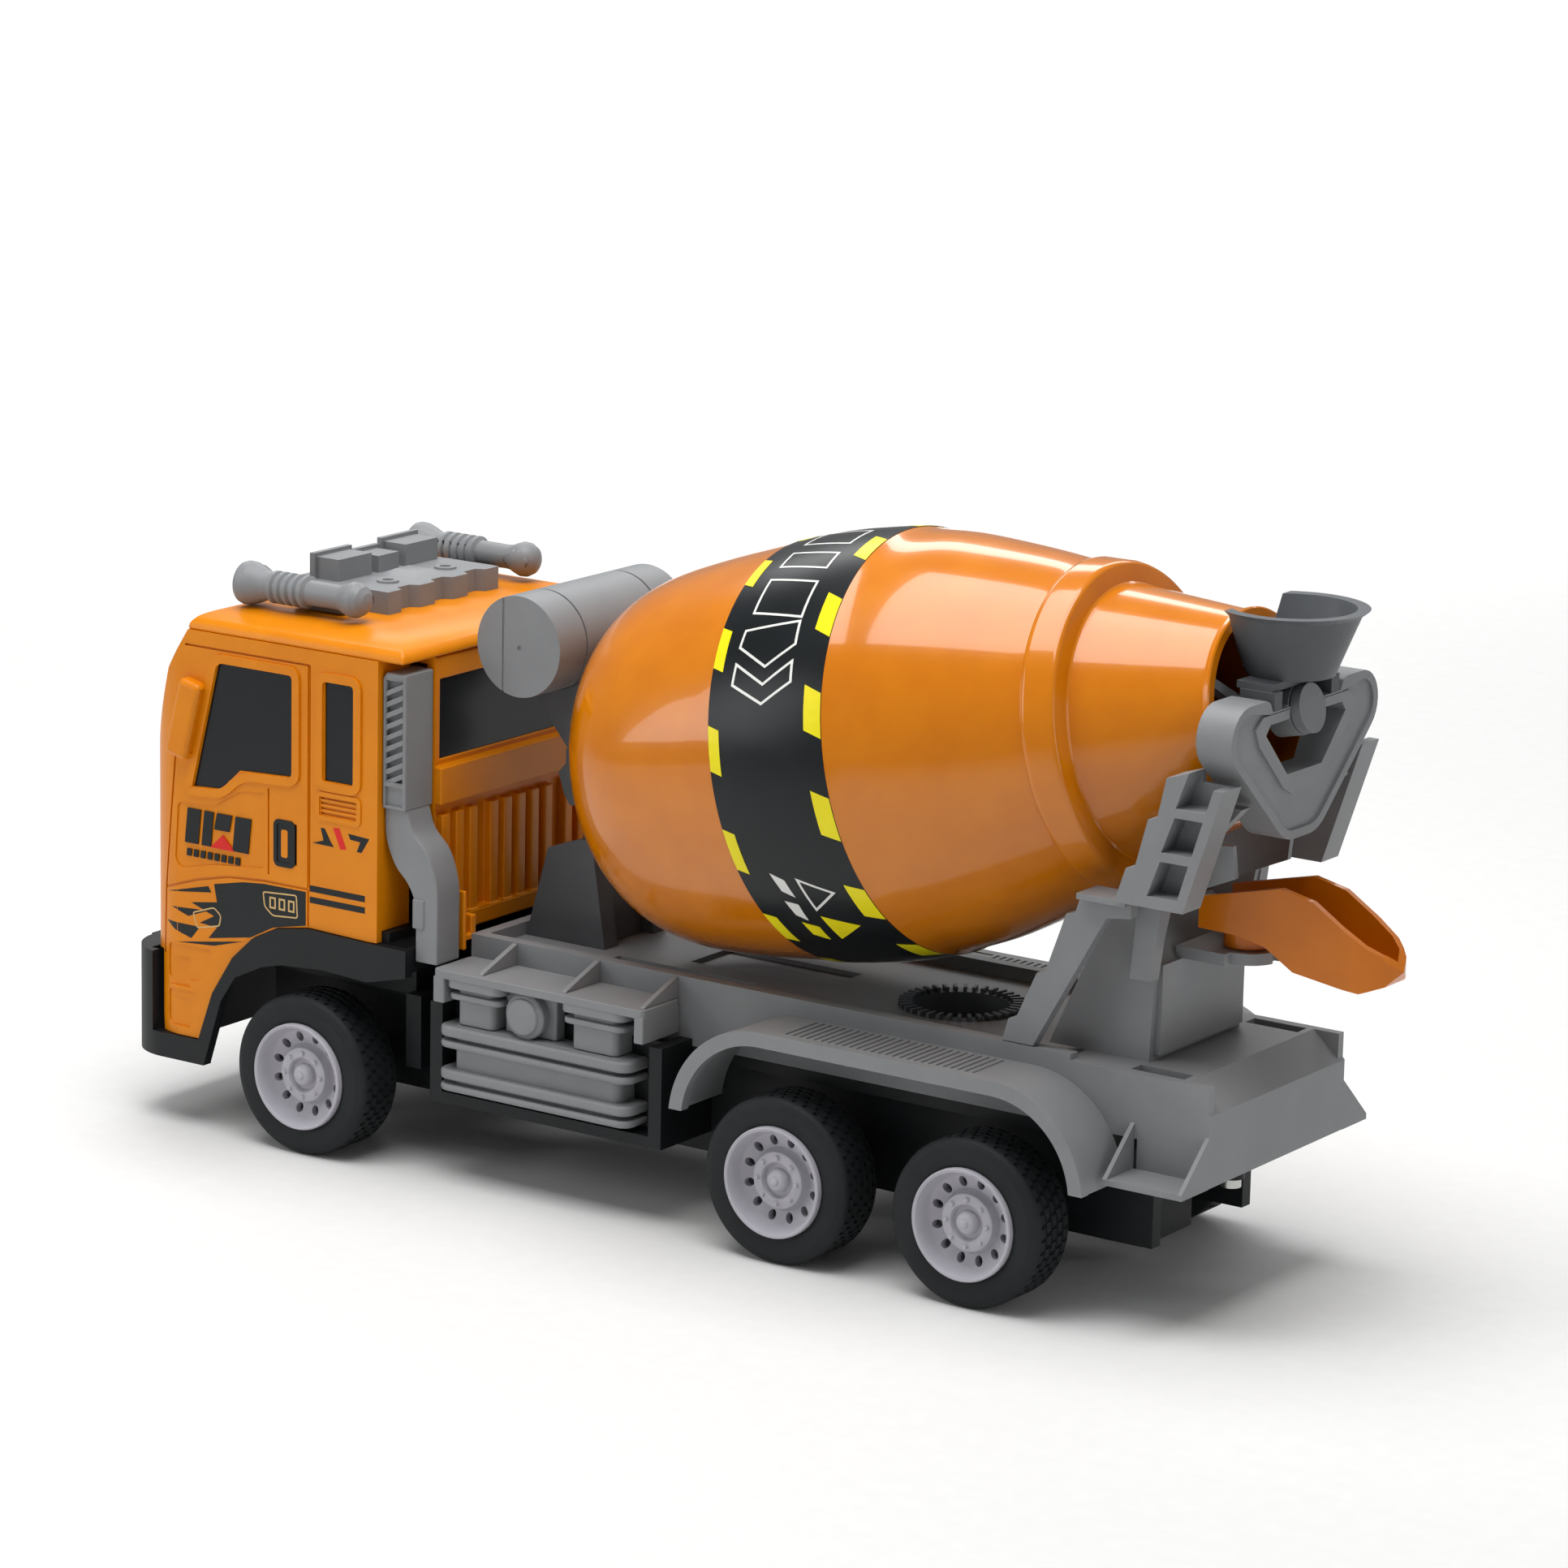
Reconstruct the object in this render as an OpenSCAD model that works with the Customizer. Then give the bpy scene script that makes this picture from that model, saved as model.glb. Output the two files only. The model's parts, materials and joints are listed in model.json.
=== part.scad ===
// Toy cement mixer truck: six wheels, friction motor, spinning drum and swivelling chute.
// Frame: +X towards the cab, +Y to the driver's left, +Z up, ground at z = 0, millimetres.

/* [Wheels and axles] */
// Radius of the tyre
tyre_r = 21.8; // [21:0.1:22]
// Radius of the rim's lip
rim_r = 14.5; // [14:0.1:14.8]
// Distance from the centre plane to the rim's lip
rim_face_y = 54.6; // [54.2:0.1:55]
// Width of the tyre
tyre_w = 16; // [15:0.5:16.5]
// Position of the front axle
front_axle_x = 118; // [117:0.5:119]
// Position of the middle axle
mid_axle_x = -36; // [-37:0.5:-35]
// Position of the rear axle
rear_axle_x = -93; // [-93.5:0.5:-92.5]
// Radius of the steel axles
axle_r = 1.5; // [1.4:0.05:1.5]

/* [Cab] */
// Half width of the cab
cab_hw = 50; // [49.5:0.1:50.2]
// Height of the roof's gutter line
gutter_z = 137.5; // [137:0.1:138]
// Highest point of the roof cap
roof_z = 143.5; // [143:0.1:144]
// Thickness of the cab's plastic wall
wall = 2; // [1.8:0.1:2.2]

/* [Deck] */
// Half width of the deck between its rails
deck_hw = 33; // [32.8:0.1:33]
// Top of the deck's side rails
rail_z = 64; // [63.5:0.1:64.2]
// Top of the deck's floor
floor_z = 60.5; // [60.2:0.1:60.6]
// Top of the chassis, where the deck sits
seat_z = 46; // [46:0.1:46.2]

/* [Drum] */
// Tilt of the drum's axis
drum_tilt = 12.5; // [12.3:0.1:12.6]
// Height of the drum's axis at its widest ring
drum_z = 125; // [124.8:0.1:125.4]
// Position of the drum's widest ring
drum_x = -32; // [-32.5:0.5:-31.5]
// Largest radius of the drum
drum_r = 55.2; // [54.8:0.1:55.4]
// Thickness of the drum's wall
drum_wall = 2.2; // [2:0.1:2.3]

/* [Chute] */
// Position of the chute's swivel pin
chute_pin_x = -140; // [-140.5:0.5:-139.5]
// Top of the platform that the chute turns on
platform_z = 90; // [89.8:0.1:90.2]

/* [Hidden] */
$fn = 64;
axle_z = tyre_r;
tyre_out_y = rim_face_y - 1.25;
tyre_in_y = tyre_out_y - tyre_w;
rail_in_y = 20;
rail_out_y = 24;
play = 0.06;
gap = 0.3;
gear_m = 0.6;
axle_gear_n = 24;
idler_big_n = 18;
pinion_n = 9;
idler_x = rear_axle_x - gear_m * (axle_gear_n + pinion_n) / 2;
flywheel_x = idler_x - gear_m * (idler_big_n + pinion_n) / 2;
chute_tip_x = -184;
fender_r = 27;
fender_x1 = -30;
fender_x2 = -99.5;
fender_cz = 32.5;
spindle_r = 3;
screw_x = [-138, 50, 140];
hopper_z = 160.2;
rack_x = 111.7;
rack_z = 149.6;
saddle_top_z = 157;

// ---- helpers -------------------------------------------------------------

// A block between two corners
module block(x0, x1, y0, y1, z0, z1) {
    translate([x0, y0, z0]) cube([x1 - x0, y1 - y0, z1 - z0]);
}

// Both the piece and its mirror image on the other side
module both_sides() {
    children();
    mirror([0, 1, 0]) children();
}

// An outline in the x-z plane, given its thickness from y0 to y1
module side_plate(y0, y1) {
    translate([0, y1, 0]) rotate([90, 0, 0]) linear_extrude(y1 - y0) children();
}

// A revolved profile of [radius, y] points about the axle line at x
module about_axle(x) {
    translate([x, 0, axle_z]) rotate([-90, 0, 0]) rotate_extrude() children();
}

// Places a piece on the drum's axis: its z runs up the axis, to the rear
module on_drum_axis() {
    translate([drum_x, 0, drum_z]) rotate([0, drum_tilt - 90, 0]) children();
}

// ---- wheels, axles and friction motor --------------------------------------

module axle(x) {
    color("lightsteelblue") translate([x, 48, axle_z]) rotate([90, 0, 0])
        cylinder(r = axle_r, h = 96);
}

// Deep-dished rim with twelve vents, a bolt flange and a centre dome
module rim(x) {
    f = rim_face_y;
    color("lavender") difference() {
        about_axle(x) polygon([[0, f - 1.6], [2.6, f - 2], [3.2, f - 4.4], [4.6, f - 4.4],
            [5.2, f - 3], [7.8, f - 3.2], [8.4, f - 5.4], [12.2, f - 4.2], [13, f - 1.4],
            [rim_r - 1, f], [rim_r, f], [rim_r, tyre_in_y + 0.6], [rim_r - 1.2, tyre_in_y + 0.6],
            [rim_r - 1.6, f - 8], [12, f - 6.6], [4.2, f - 8], [4.2, rail_out_y + 0.4], [0, rail_out_y + 0.4]]);
        translate([x, rail_out_y, axle_z]) rotate([-90, 0, 0]) cylinder(r = axle_r + 0.02, h = 24.2);
        for (i = [0:11])
            translate([x, 0, axle_z]) rotate([0, i * 30, 0]) translate([10.3, f - 10, 0])
                rotate([-90, 0, 0]) cylinder(r = 1.3, h = 8, $fn = 8);
    }
}

// Tyre with a shallow block tread
module tyre(x) {
    bevel = 1.6;
    color([0.12, 0.12, 0.13]) difference() {
        about_axle(x) polygon([[rim_r + 0.05, tyre_in_y], [tyre_r - bevel, tyre_in_y],
            [tyre_r, tyre_in_y + bevel], [tyre_r, tyre_out_y - bevel],
            [tyre_r - bevel, tyre_out_y], [rim_r + 0.05, tyre_out_y]]);
        about_axle(x) translate([tyre_r - 0.6, (tyre_in_y + tyre_out_y) / 2 - 0.6]) square([2, 1.2]);
    }
}

// Straight-sided spur gear about the line y, between two y values
module gear(n, y0, y1) {
    pitch_r = gear_m * n / 2;
    root_r = pitch_r - 0.62;
    tip_r = pitch_r + 0.45;
    base_w = gear_m * PI * 0.24;
    tip_w = gear_m * PI * 0.12;
    translate([0, y1, 0]) rotate([90, 0, 0]) linear_extrude(y1 - y0) {
        circle(r = root_r);
        for (i = [0:n - 1])
            rotate(i * 360 / n)
                polygon([[root_r - 0.2, -base_w], [tip_r, -tip_w], [tip_r, tip_w], [root_r - 0.2, base_w]]);
    }
}

module axle_gear() {
    color("ivory") difference() {
        translate([rear_axle_x, 0, axle_z]) gear(axle_gear_n, -1, 2);
        translate([rear_axle_x, 5, axle_z]) rotate([90, 0, 0]) cylinder(r = axle_r + 0.02, h = 10);
    }
}

// Small gear and large gear on one shaft
module idler_gear() {
    color("ivory") translate([idler_x, 0, axle_z]) {
        rotate([0, 180 / pinion_n, 0]) gear(pinion_n, -1.5, 2.5);
        gear(idler_big_n, 3.5, 6.5);
        translate([0, 10, 0]) rotate([90, 0, 0]) cylinder(r = 1, h = 20);
    }
}

// Heavy disc with its pinion, which keeps the toy rolling
module flywheel() {
    color("slategray") translate([flywheel_x, 0, axle_z]) {
        rotate([0, 180 / pinion_n, 0]) gear(pinion_n, 3, 7);
        translate([0, -4, 0]) rotate([90, 0, 0]) cylinder(r = 6.4, h = 4.5);
        translate([0, 10, 0]) rotate([90, 0, 0]) cylinder(r = 1, h = 20);
    }
}

// Two-wall gearbox that carries the shafts and hangs under the chassis
module motor_housing() {
    x0 = flywheel_x - 9;
    x1 = rear_axle_x + 10;
    top = 42;
    color([0.1, 0.1, 0.1]) difference() {
        block(x0, x1, -12, 12, 11, top);
        block(x0 + 1.6, x1 - 1.6, -9.6, 9.6, 12.6, top - 1.6);
        for (x = [idler_x, flywheel_x])
            translate([x, 10.2, axle_z]) rotate([90, 0, 0]) cylinder(r = 1 + play, h = 20.4);
        translate([rear_axle_x, 20, axle_z]) rotate([90, 0, 0]) cylinder(r = axle_r + play, h = 40);
    }
}

// ---- chassis ---------------------------------------------------------------

module axle_bores() {
    for (x = [front_axle_x, mid_axle_x, rear_axle_x])
        translate([x, 40, axle_z]) rotate([90, 0, 0]) cylinder(r = axle_r + play, h = 80);
}

// Black underframe: top plate, rails with the axle bearings, side skirts and the cab's floor
module chassis() {
    color([0.1, 0.1, 0.11]) difference() {
        union() {
            block(-147, 168, -29, 29, 42, seat_z);
            block(-108, 94, -33, 33, 43, seat_z);
            both_sides() {
                block(-130, 150, rail_in_y, rail_out_y, 15.5, 42);
                block(4, 79, rail_out_y, 46.5, 21, 24);
                for (x = [4, 75]) {
                    block(x, x + 4, rail_out_y, 46.5, 24, 42);
                    block(x, x + 4, deck_hw + 0.2, 46.5, 42, 48);
                }
                block(8, 75, 38, 40.8, 24, 48);
                block(88, 93, 32, 39, 26, seat_z);
                block(92, 150, 27, 36, seat_z - 1, 62);
            }
            block(92, 150, -47.7, 47.7, 61.6, 64.4);
            for (x = [92, 146])
                both_sides() block(x, x + 4, 18, 33, seat_z - 1, 62);
            for (x = [-128, -62, 20, 88, 146])
                block(x, x + 4, -rail_in_y, rail_in_y, 26, 42);
            for (x = screw_x)
                translate([x, 0, 30]) cylinder(r = 3.4, h = 12);
        }
        axle_bores();
        for (x = screw_x)
            translate([x, 0, 29]) cylinder(r = 1.3, h = 10);
    }
}

// The identical cross-head screws that hold the body down
module chassis_screws() {
    color("silver") for (x = screw_x)
        translate([x, 0, 27.6]) difference() {
            union() {
                cylinder(r = 2.6, h = 2.4);
                cylinder(r = 1.25, h = 10);
            }
            translate([-1.6, -0.3, -1]) cube([3.2, 0.6, 1.9]);
            translate([-0.3, -1.6, -1]) cube([0.6, 3.2, 1.9]);
        }
}

// ---- cab -------------------------------------------------------------------

// Side view of the cab, from the gutter down to the wheel arch
module cab_side_outline(inset = 0) {
    i = inset;
    polygon([[86 + i, 62], [97, 61.6], [117.4, 62.2], [128, 60.4], [136, 56.5], [143, 50], [150, 39],
        [155, 25 + i], [169 - i, 25 + i], [171 - i, 47], [177.4 - i, 47], [176.8 - i, 84],
        [174.6 - i, 100], [166.4 - i, 126], [159 - i, gutter_z - i], [86 + i, gutter_z - i]]);
}

// Plan view of the cab: round front corners, square notches for the stacks
module cab_plan_outline(inset = 0) {
    hw = cab_hw - inset;
    r = 16;
    difference() {
        union() {
            translate([86 + inset, -hw]) square([163 - inset - 86, 2 * hw]);
            translate([150, -hw + r]) square([28 - inset, 2 * (hw - r)]);
            for (s = [-1, 1])
                translate([161.5 - inset * 0.2, s * (hw - r)]) circle(r = r);
        }
        for (s = [-1, 1])
            translate([80, s * 50 - 13.6]) square([14.4 + inset, 27.2]);
    }
}

module cab_solid(inset = 0) {
    intersection() {
        side_plate(-60, 60) cab_side_outline(inset);
        translate([0, 0, -1]) linear_extrude(200) cab_plan_outline(inset);
    }
}

// Door window with its stepped sill, and the upright window behind it
module side_window_outline(grow = 0) {
    g = grow;
    polygon([[148.6 + g * 0.6, 129.7 + g], [123 - g, 129.7 + g], [123 - g, 102.3 - g],
        [141 + g * 0.4, 101.4 - g], [147.4 + g * 0.4, 95.4 - g], [157.2 + g, 94.8 - g]]);
    translate([102.6 - g, 103 - g]) square([9.6 + 2 * g, 26.6 + 2 * g]);
}

module windscreen_solid(y_hw, z0, z1) {
    intersection() {
        block(150, 190, -y_hw, y_hw, z0, z1);
        cab_solid();
    }
}

// Hollow orange shell with the doors' raised panels and recessed handles
module cab_shell() {
    color("orange") difference() {
        union() {
            difference() {
                cab_solid();
                intersection() {
                    cab_solid(wall);
                    block(86, 180, -60, 60, 25, 137);
                }
                block(85, 96, -36.3, 36.3, 50, 140);
            }
            both_sides() block(96, 99, 36, 49, 63, 137);
        }
        block(80, 155, -47.9, 47.9, 50, 64.6);
        block(94, 150, -47.9, 47.9, 20, 64.6);
        block(140, 172, -47.9, 47.9, 20, 47.4);
        both_sides() {
            side_plate(cab_hw - wall - 1, cab_hw + 1) side_window_outline();
            block(116.9, 117.6, cab_hw - 0.7, cab_hw + 1, 72, 133.6);
            block(117, 160, cab_hw - 0.7, cab_hw + 1, 133, 133.6);
            block(121.5, 128.5, cab_hw - 1.4, cab_hw + 1, 78.4, 89.6);
            for (i = [0:3])
                block(101.5, 113.3, cab_hw - 0.6, cab_hw + 1, 93.8 + i * 1.4, 94.5 + i * 1.4);
            for (z = [27.4, 38.6])
                block(158.5, 168, cab_hw - 0.7, cab_hw + 1, z, z + 8.2);
        }
        block(150, 190, -41, 41, 100.5, 133.5);
        block(172, 190, -26, 26, 58, 88);
    }
}

// Crowned roof cap that sits on the gutter
module cab_roof() {
    color("orange") difference() {
        hull() {
            block(87, 158.6, -48.4, 48.4, gutter_z, gutter_z + 1);
            block(88.6, 157, -46.4, 46.4, roof_z - 2.8, roof_z - 2.6);
            block(93, 152.6, -42, 42, roof_z - 0.9, roof_z - 0.8);
            block(100, 145.6, -35, 35, roof_z - 0.1, roof_z);
        }
        for (i = [0:7])
            block(92.5 + i * 0.3, 97, -30 + i * 8, -29.5 + i * 8, roof_z - 0.5, roof_z + 1);
    }
}

// Rear wall with the wide window, the stepped belt line and upright ribs
module cab_rear_wall() {
    color("darkorange") difference() {
        union() {
            block(87, 89, -36.2, 36.2, 62.4, 137);
            block(84, 87, -36.2, 36.2, 98, 108);
            block(84, 87, -36.2, 36.2, 62.4, 67);
            for (y = [-33, -27, -21, -12, -6, 0, 6, 12, 21, 27, 33])
                block(84.6, 87, y - 1.7, y + 1.7, 67, 95);
            both_sides() {
                block(76, 84, 31, 33, 62.4, 69);
                block(76, 84, 35, 36.2, 60, 76);
                block(76, 87, 33, 36.2, 62.4, 64);
            }
        }
        block(80, 95, -33, 33, 109.6, 131);
    }
}

module rear_window() {
    color([0.1, 0.12, 0.14]) block(87.4, 88.4, -32.95, 32.95, 109.65, 130.95);
}

module side_window() {
    color([0.1, 0.12, 0.14]) side_plate(cab_hw - 1.5, cab_hw - 0.4) side_window_outline(-0.06);
}

// Raked front glass with rounded ends
module windscreen() {
    color([0.1, 0.12, 0.14]) difference() {
        intersection() {
            windscreen_solid(40.95, 100.6, 133.4);
            side_plate(-60, 60) translate([-0.6, 0]) cab_side_outline();
        }
        side_plate(-60, 60) translate([-1.8, 0]) cab_side_outline();
    }
}

// Slatted radiator grille in the nose
module grille() {
    color([0.15, 0.15, 0.16]) {
        block(173.5, 176.2, -25.9, 25.9, 58.1, 87.9);
        for (i = [0:5])
            block(176.2, 178.2, -25, 25, 59.5 + i * 4.8, 62 + i * 4.8);
    }
}

// Black bumper wrapped round the nose, with the wheel-arch trims
module front_bumper() {
    color([0.13, 0.13, 0.14]) difference() {
        union() {
            difference() {
                translate([0, 0, 18]) linear_extrude(29) {
                    translate([168, -36]) square([16, 72]);
                    for (s = [-1, 1])
                        translate([168, s * 36]) circle(r = 15);
                    translate([153, -51]) square([15, 102]);
                }
                block(140, 174, -47.8, 47.8, 10, 60);
                both_sides() block(150, 171.2, 44, 60, 24.8, 60);
                block(150, 171.2, -60, -44, 24.8, 60);
            }
            both_sides() side_plate(48, 51) difference() {
                polygon([[84, 61.4], [97, 61.4], [117.4, 62], [128, 60.2], [136, 56.3], [143, 49.8],
                    [150, 38.8], [155, 24.8], [155, 18], [153, 18], [147, 37], [142, 44.5], [134, 48.6],
                    [126, 50.6], [112, 51.6], [97, 50.8], [84, 54]]);
            }
            both_sides() block(84, 86, 37, 48, 55, 61.4);
        }
        both_sides() translate([181, 30, 32]) rotate([0, 90, 0]) cylinder(r = 5.2, h = 8);
        block(181.5, 186, -20, 20, 24, 29);
    }
}

module headlamps() {
    color("whitesmoke") both_sides() translate([181, 30, 32]) rotate([0, 90, 0]) {
        cylinder(r = 5, h = 1.6);
        cylinder(r1 = 5, r2 = 3.6, h = 2.6);
    }
}

// Corner mirror housing beside the windscreen
module mirror_housing() {
    color("orange") difference() {
        hull() {
            block(157.5, 163.5, 48, 52.5, 102.4, 104.4);
            block(154.4, 163.6, 48, 53.4, 108, 118);
            block(152.6, 159, 48, 52.5, 122.4, 124.4);
        }
        cab_solid();
    }
}

// ---- roof rack, stacks and tank ----------------------------------------------

// Trumpet horn along x with ribbed neck and ball end
module air_horn() {
    translate([-10, 37, 149.5]) rotate([0, 90, 0]) rotate_extrude()
        polygon([[0, 0], [0, 38], [4.4, 42], [5.9, 41], [5.8, 38], [4.4, 34.4], [3.7, 30],
            [4.4, 29.5], [4.4, 28], [3.8, 27.5], [4.4, 27], [4.4, 25.5], [3.8, 25], [4.4, 24.5],
            [4.4, 23], [3.8, 22.5], [4.4, 22], [4.4, 20.5], [3.6, 20], [3.4, 10], [4.6, 6.5],
            [4.8, 4], [3.6, 1]]);
}

// Block lamp with a larger bezel plate in front
module roof_lamp(y, hw, h) {
    block(130.6, 138.2, y - hw, y + hw, rack_z, rack_z + h);
    block(138.2, 139.8, y - hw - 1, y + hw + 1, rack_z, rack_z + h + 1);
}

// One moulding: plate with a notched rear edge, three lamps and two horns
module roof_rack() {
    color("darkgray") {
        difference() {
            block(rack_x, 145, -24, 24, roof_z, rack_z);
            for (y = [-14.4, 0, 14.4])
                translate([rack_x - 1, y, roof_z - 1]) linear_extrude(8)
                    polygon([[0, -4.6], [3.6, -2.6], [3.6, 2.6], [0, 4.6]]);
            block(118, 141, -20, 20, roof_z - 1, rack_z - 2);
        }
        hull() {
            block(116, 129, -6.5, 6.5, rack_z - 0.1, rack_z);
            block(119, 126, -3, 3, rack_z + 1.5, rack_z + 1.6);
        }
        for (s = [-1, 1])
            translate([121, s * 12.5, rack_z]) difference() {
                cylinder(r = 3, h = 0.6);
                cylinder(r = 1.6, h = 2);
            }
        roof_lamp(-14.4, 7, 6);
        roof_lamp(0, 4.4, 4.6);
        roof_lamp(14.4, 7, 6);
        both_sides() translate([118, 0, 0]) {
            air_horn();
            block(2, 18, 23, 35, roof_z + 0.6, 147.4);
        }
    }
}

// Square stack with slanted louvres, an S-bend and a lower clip
module exhaust_stack() {
    color("gray") {
        difference() {
            block(86.4, 94.3, 36.6, 48.4, 98, 134.6);
            for (i = [0:6])
                translate([90, 47.6, 103 + i * 4.4]) rotate([0, 30, 0]) block(-4, 4, 0, 2, 0, 1.6);
        }
        side_plate(38, 47.2) difference() {
            polygon([[86.2, 98], [93, 98], [93, 90], [90, 82], [83.4, 77], [81, 73], [81, 58], [75.4, 58],
                [75.4, 82], [79, 90], [86.2, 97]]);
        }
        block(81, 84.2, 39, 46, 69, 75);
    }
}

// Barrel across the truck with end discs and two pipe seams
module water_tank() {
    color("darkgray") translate([65, 28.5, 142]) rotate([90, 0, 0]) difference() {
        cylinder(r = 13.5, h = 57);
        for (z = [12, 45])
            translate([0, 0, z - 0.3]) difference() {
                cylinder(r = 15, h = 0.6);
                cylinder(r = 13, h = 0.6);
            }
        for (z = [-1, 56.6]) {
            translate([4.7, -15, z]) cube([0.6, 30, 1.4]);
            translate([-0.4, -0.4, z]) cylinder(r = 0.7, h = 1.4);
        }
    }
}

// Saddle under the tank, standing on the drum's front pedestal
module tank_bracket() {
    color("gray") difference() {
        both_sides() side_plate(9.6, 13.4)
            polygon([[52, 113], [60, 113], [71, 126], [76, 132], [54, 132]]);
        translate([65, 30, 142]) rotate([90, 0, 0]) cylinder(r = 13.55, h = 60);
    }
}

// ---- deck, fenders and side equipment -----------------------------------------

// Grey load deck with side rails and the stepped block at its tail
module deck() {
    hw = deck_hw;
    color("dimgray") difference() {
        union() {
            block(-110, 76, -hw, hw, floor_z - 2.5, floor_z);
            both_sides() {
                block(-150, 76, hw - 2.5, hw, seat_z, rail_z - 1.5);
                block(-110, 76, hw - 3.5, hw, floor_z, rail_z);
            }
            block(72.5, 76, -hw, hw, seat_z, rail_z);
            side_plate(-hw, hw) polygon([[-108, 59], [-108, 62.5], [-142.7, 62.5], [-150.6, 55.4],
                [-150.6, 37], [-148, 37], [-148, 54.2], [-141.6, 60], [-112, 60], [-112, 59]]);
            translate([-57, 0, 52]) cylinder(r = 18.4, h = floor_z - 52);
            both_sides() {
                block(-150.6, -128, hw, 45.6, 36.9, 38.4);
                translate([-149.4, 0, 0]) rotate([90, 0, -90]) linear_extrude(1.2)
                    polygon([[-hw, 38.4], [-45.6, 38.4], [-hw, 50]]);
                translate([-128, 0, 0]) rotate([90, 0, -90]) linear_extrude(1.2)
                    polygon([[-hw, 38.4], [-45.6, 38.4], [-hw, 50]]);
                block(-150, -130, hw - 2.5, hw, 37, seat_z);
            }
            for (x = [-60, 0, 40])
                block(x, x + 2, -30, 30, seat_z, floor_z - 2.5);
        }
        translate([-57, 0, 53.5]) cylinder(r = 16.6, h = 20);
        both_sides() {
            block(-141, -125.8, 25.2, 30, 55, 70);
            block(-4, 40, 16, 24, floor_z - 1, floor_z + 2);
        }
        block(-20, 22, -9, 9, floor_z - 1.2, floor_z + 2);
        for (x = [-60, 0, 40])
            block(x - 1, x + 3, -14, 14, seat_z - 1, 56);
    }
}

// Insert in the deck's well: a ring of slanted clicks round an open socket
module tooth_ring() {
    n = 36;
    color("darkslategray") {
        translate([-57, 0, 53.5]) difference() {
            cylinder(r = 16.5, h = 7);
            translate([0, 0, 1.4]) cylinder(r = 12.5, h = 8);
        }
        translate([-57, 0, floor_z]) for (i = [0:n - 1])
            rotate([0, 0, i * 360 / n]) translate([13, -0.45, 0]) cube([3.4, 0.9, 1.2]);
    }
}

// Side view of the fender over both rear wheels
module fender_outline(t) {
    r = fender_r - t;
    union() {
        translate([fender_x1, fender_cz]) circle(r = r);
        translate([fender_x2, fender_cz]) circle(r = r);
        translate([fender_x2, fender_cz - r]) square([fender_x1 - fender_x2, 2 * r]);
    }
}

module fender() {
    color("gray") {
        side_plate(deck_hw, 49.6) difference() {
            fender_outline(0);
            fender_outline(2.4);
            translate([-140, 0]) square([160, 35]);
        }
        side_plate(49.6, 52.8) difference() {
            fender_outline(-0.3);
            fender_outline(3.6);
            translate([-140, 0]) square([160, 35]);
        }
        for (i = [0:26])
            block(-92 + i * 2.15, -90.9 + i * 2.15, 35, 49.6, 59.5, 59.9);
    }
}

// Shelf with gussets, two lidded boxes, a filler plate with cap and a long tank
module side_boxes() {
    color("gray") {
        block(8, 76, deck_hw, 49.5, 55.6, 58);
        block(71, 76, deck_hw, 49.5, 49, 55.6);
        block(8, 11, deck_hw, 48.5, 49, 55.6);
        for (x = [9, 33, 60])
            translate([x + 1.6, 0, 0]) rotate([90, 0, -90]) linear_extrude(1.6)
                polygon([[-deck_hw, 58], [-48, 58], [-deck_hw, 63.8]]);
        for (b = [[57.4, 68.7], [19, 32]]) {
            block(b[0], b[1], 41, 47.6, 43.4, 52.6);
            block(b[0] - 2.6, b[1] + 2.2, 41, 49.2, 52.6, 54);
            block(b[0] - 2.6, b[1] + 2.2, 41, 49.2, 49.6, 51);
        }
        block(38.6, 55.6, 41, 43.4, 43.4, 55.6);
        translate([47.4, 43.4, 49]) rotate([-90, 0, 0]) {
            cylinder(r = 6, h = 3.6);
            cylinder(r = 4.8, h = 4.4);
        }
        block(17, 70, 41, 47.6, 25.5, 43.4);
        for (z = [25.5, 28.6, 37.4, 40.6])
            block(12.2, 74.6, 41, 50, z, z + 2.2);
    }
}

// ---- drum support ---------------------------------------------------------------

// Front stand with the bearing block for the drum's spindle
module drum_pedestal() {
    color("dimgray") difference() {
        union() {
            both_sides() side_plate(8, 14)
                polygon([[46.4, floor_z], [72.4, floor_z], [65.5, 85.4], [54.8, 89.2], [51, 89.2]]);
            side_plate(-10, 10) polygon([[50, floor_z], [57, floor_z], [57, 99], [50, 99]]);
            side_plate(-14, 14) polygon([[49.6, 98], [58.6, 98], [60.6, 101], [62.3, 106.4], [60, 109],
                [60, 113], [49.6, 113]]);
        }
        on_drum_axis() translate([0, 0, -100]) cylinder(r = spindle_r + play, h = 30);
    }
}

// Central box, inner walls and the notched platform for the chute
module rear_tower() {
    color("dimgray") difference() {
        union() {
            side_plate(-20, 20) polygon([[-100, 62.5], [-126, 62.5], [-126, 87], [-118, 97], [-116, 97]]);
            both_sides() {
                side_plate(20, 22) polygon([[-97, 62.5], [-126, 62.5], [-127, 88], [-131, 108], [-124, 108],
                    [-112, 96]]);
                side_plate(22, 26) polygon([[-122, 84], [-128, 84], [-131, 108], [-152, 131], [-144, 131],
                    [-124, 108]]);
            }
            block(-140, -126, -11, 11, 87, platform_z);
            translate([chute_pin_x, 0, 87]) cylinder(r = 8.4, h = platform_z - 87);
            block(-128, -126, -20, 20, 64, 87);
        }
        side_plate(-18, 18) polygon([[-103, 61], [-124, 61], [-124, 86], [-118, 94], [-117, 94]]);
        translate([chute_pin_x, 0, 80]) cylinder(r = 2.06, h = 20);
        block(-150, -147, -1.6, 1.6, 80, 95);
    }
}

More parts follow.
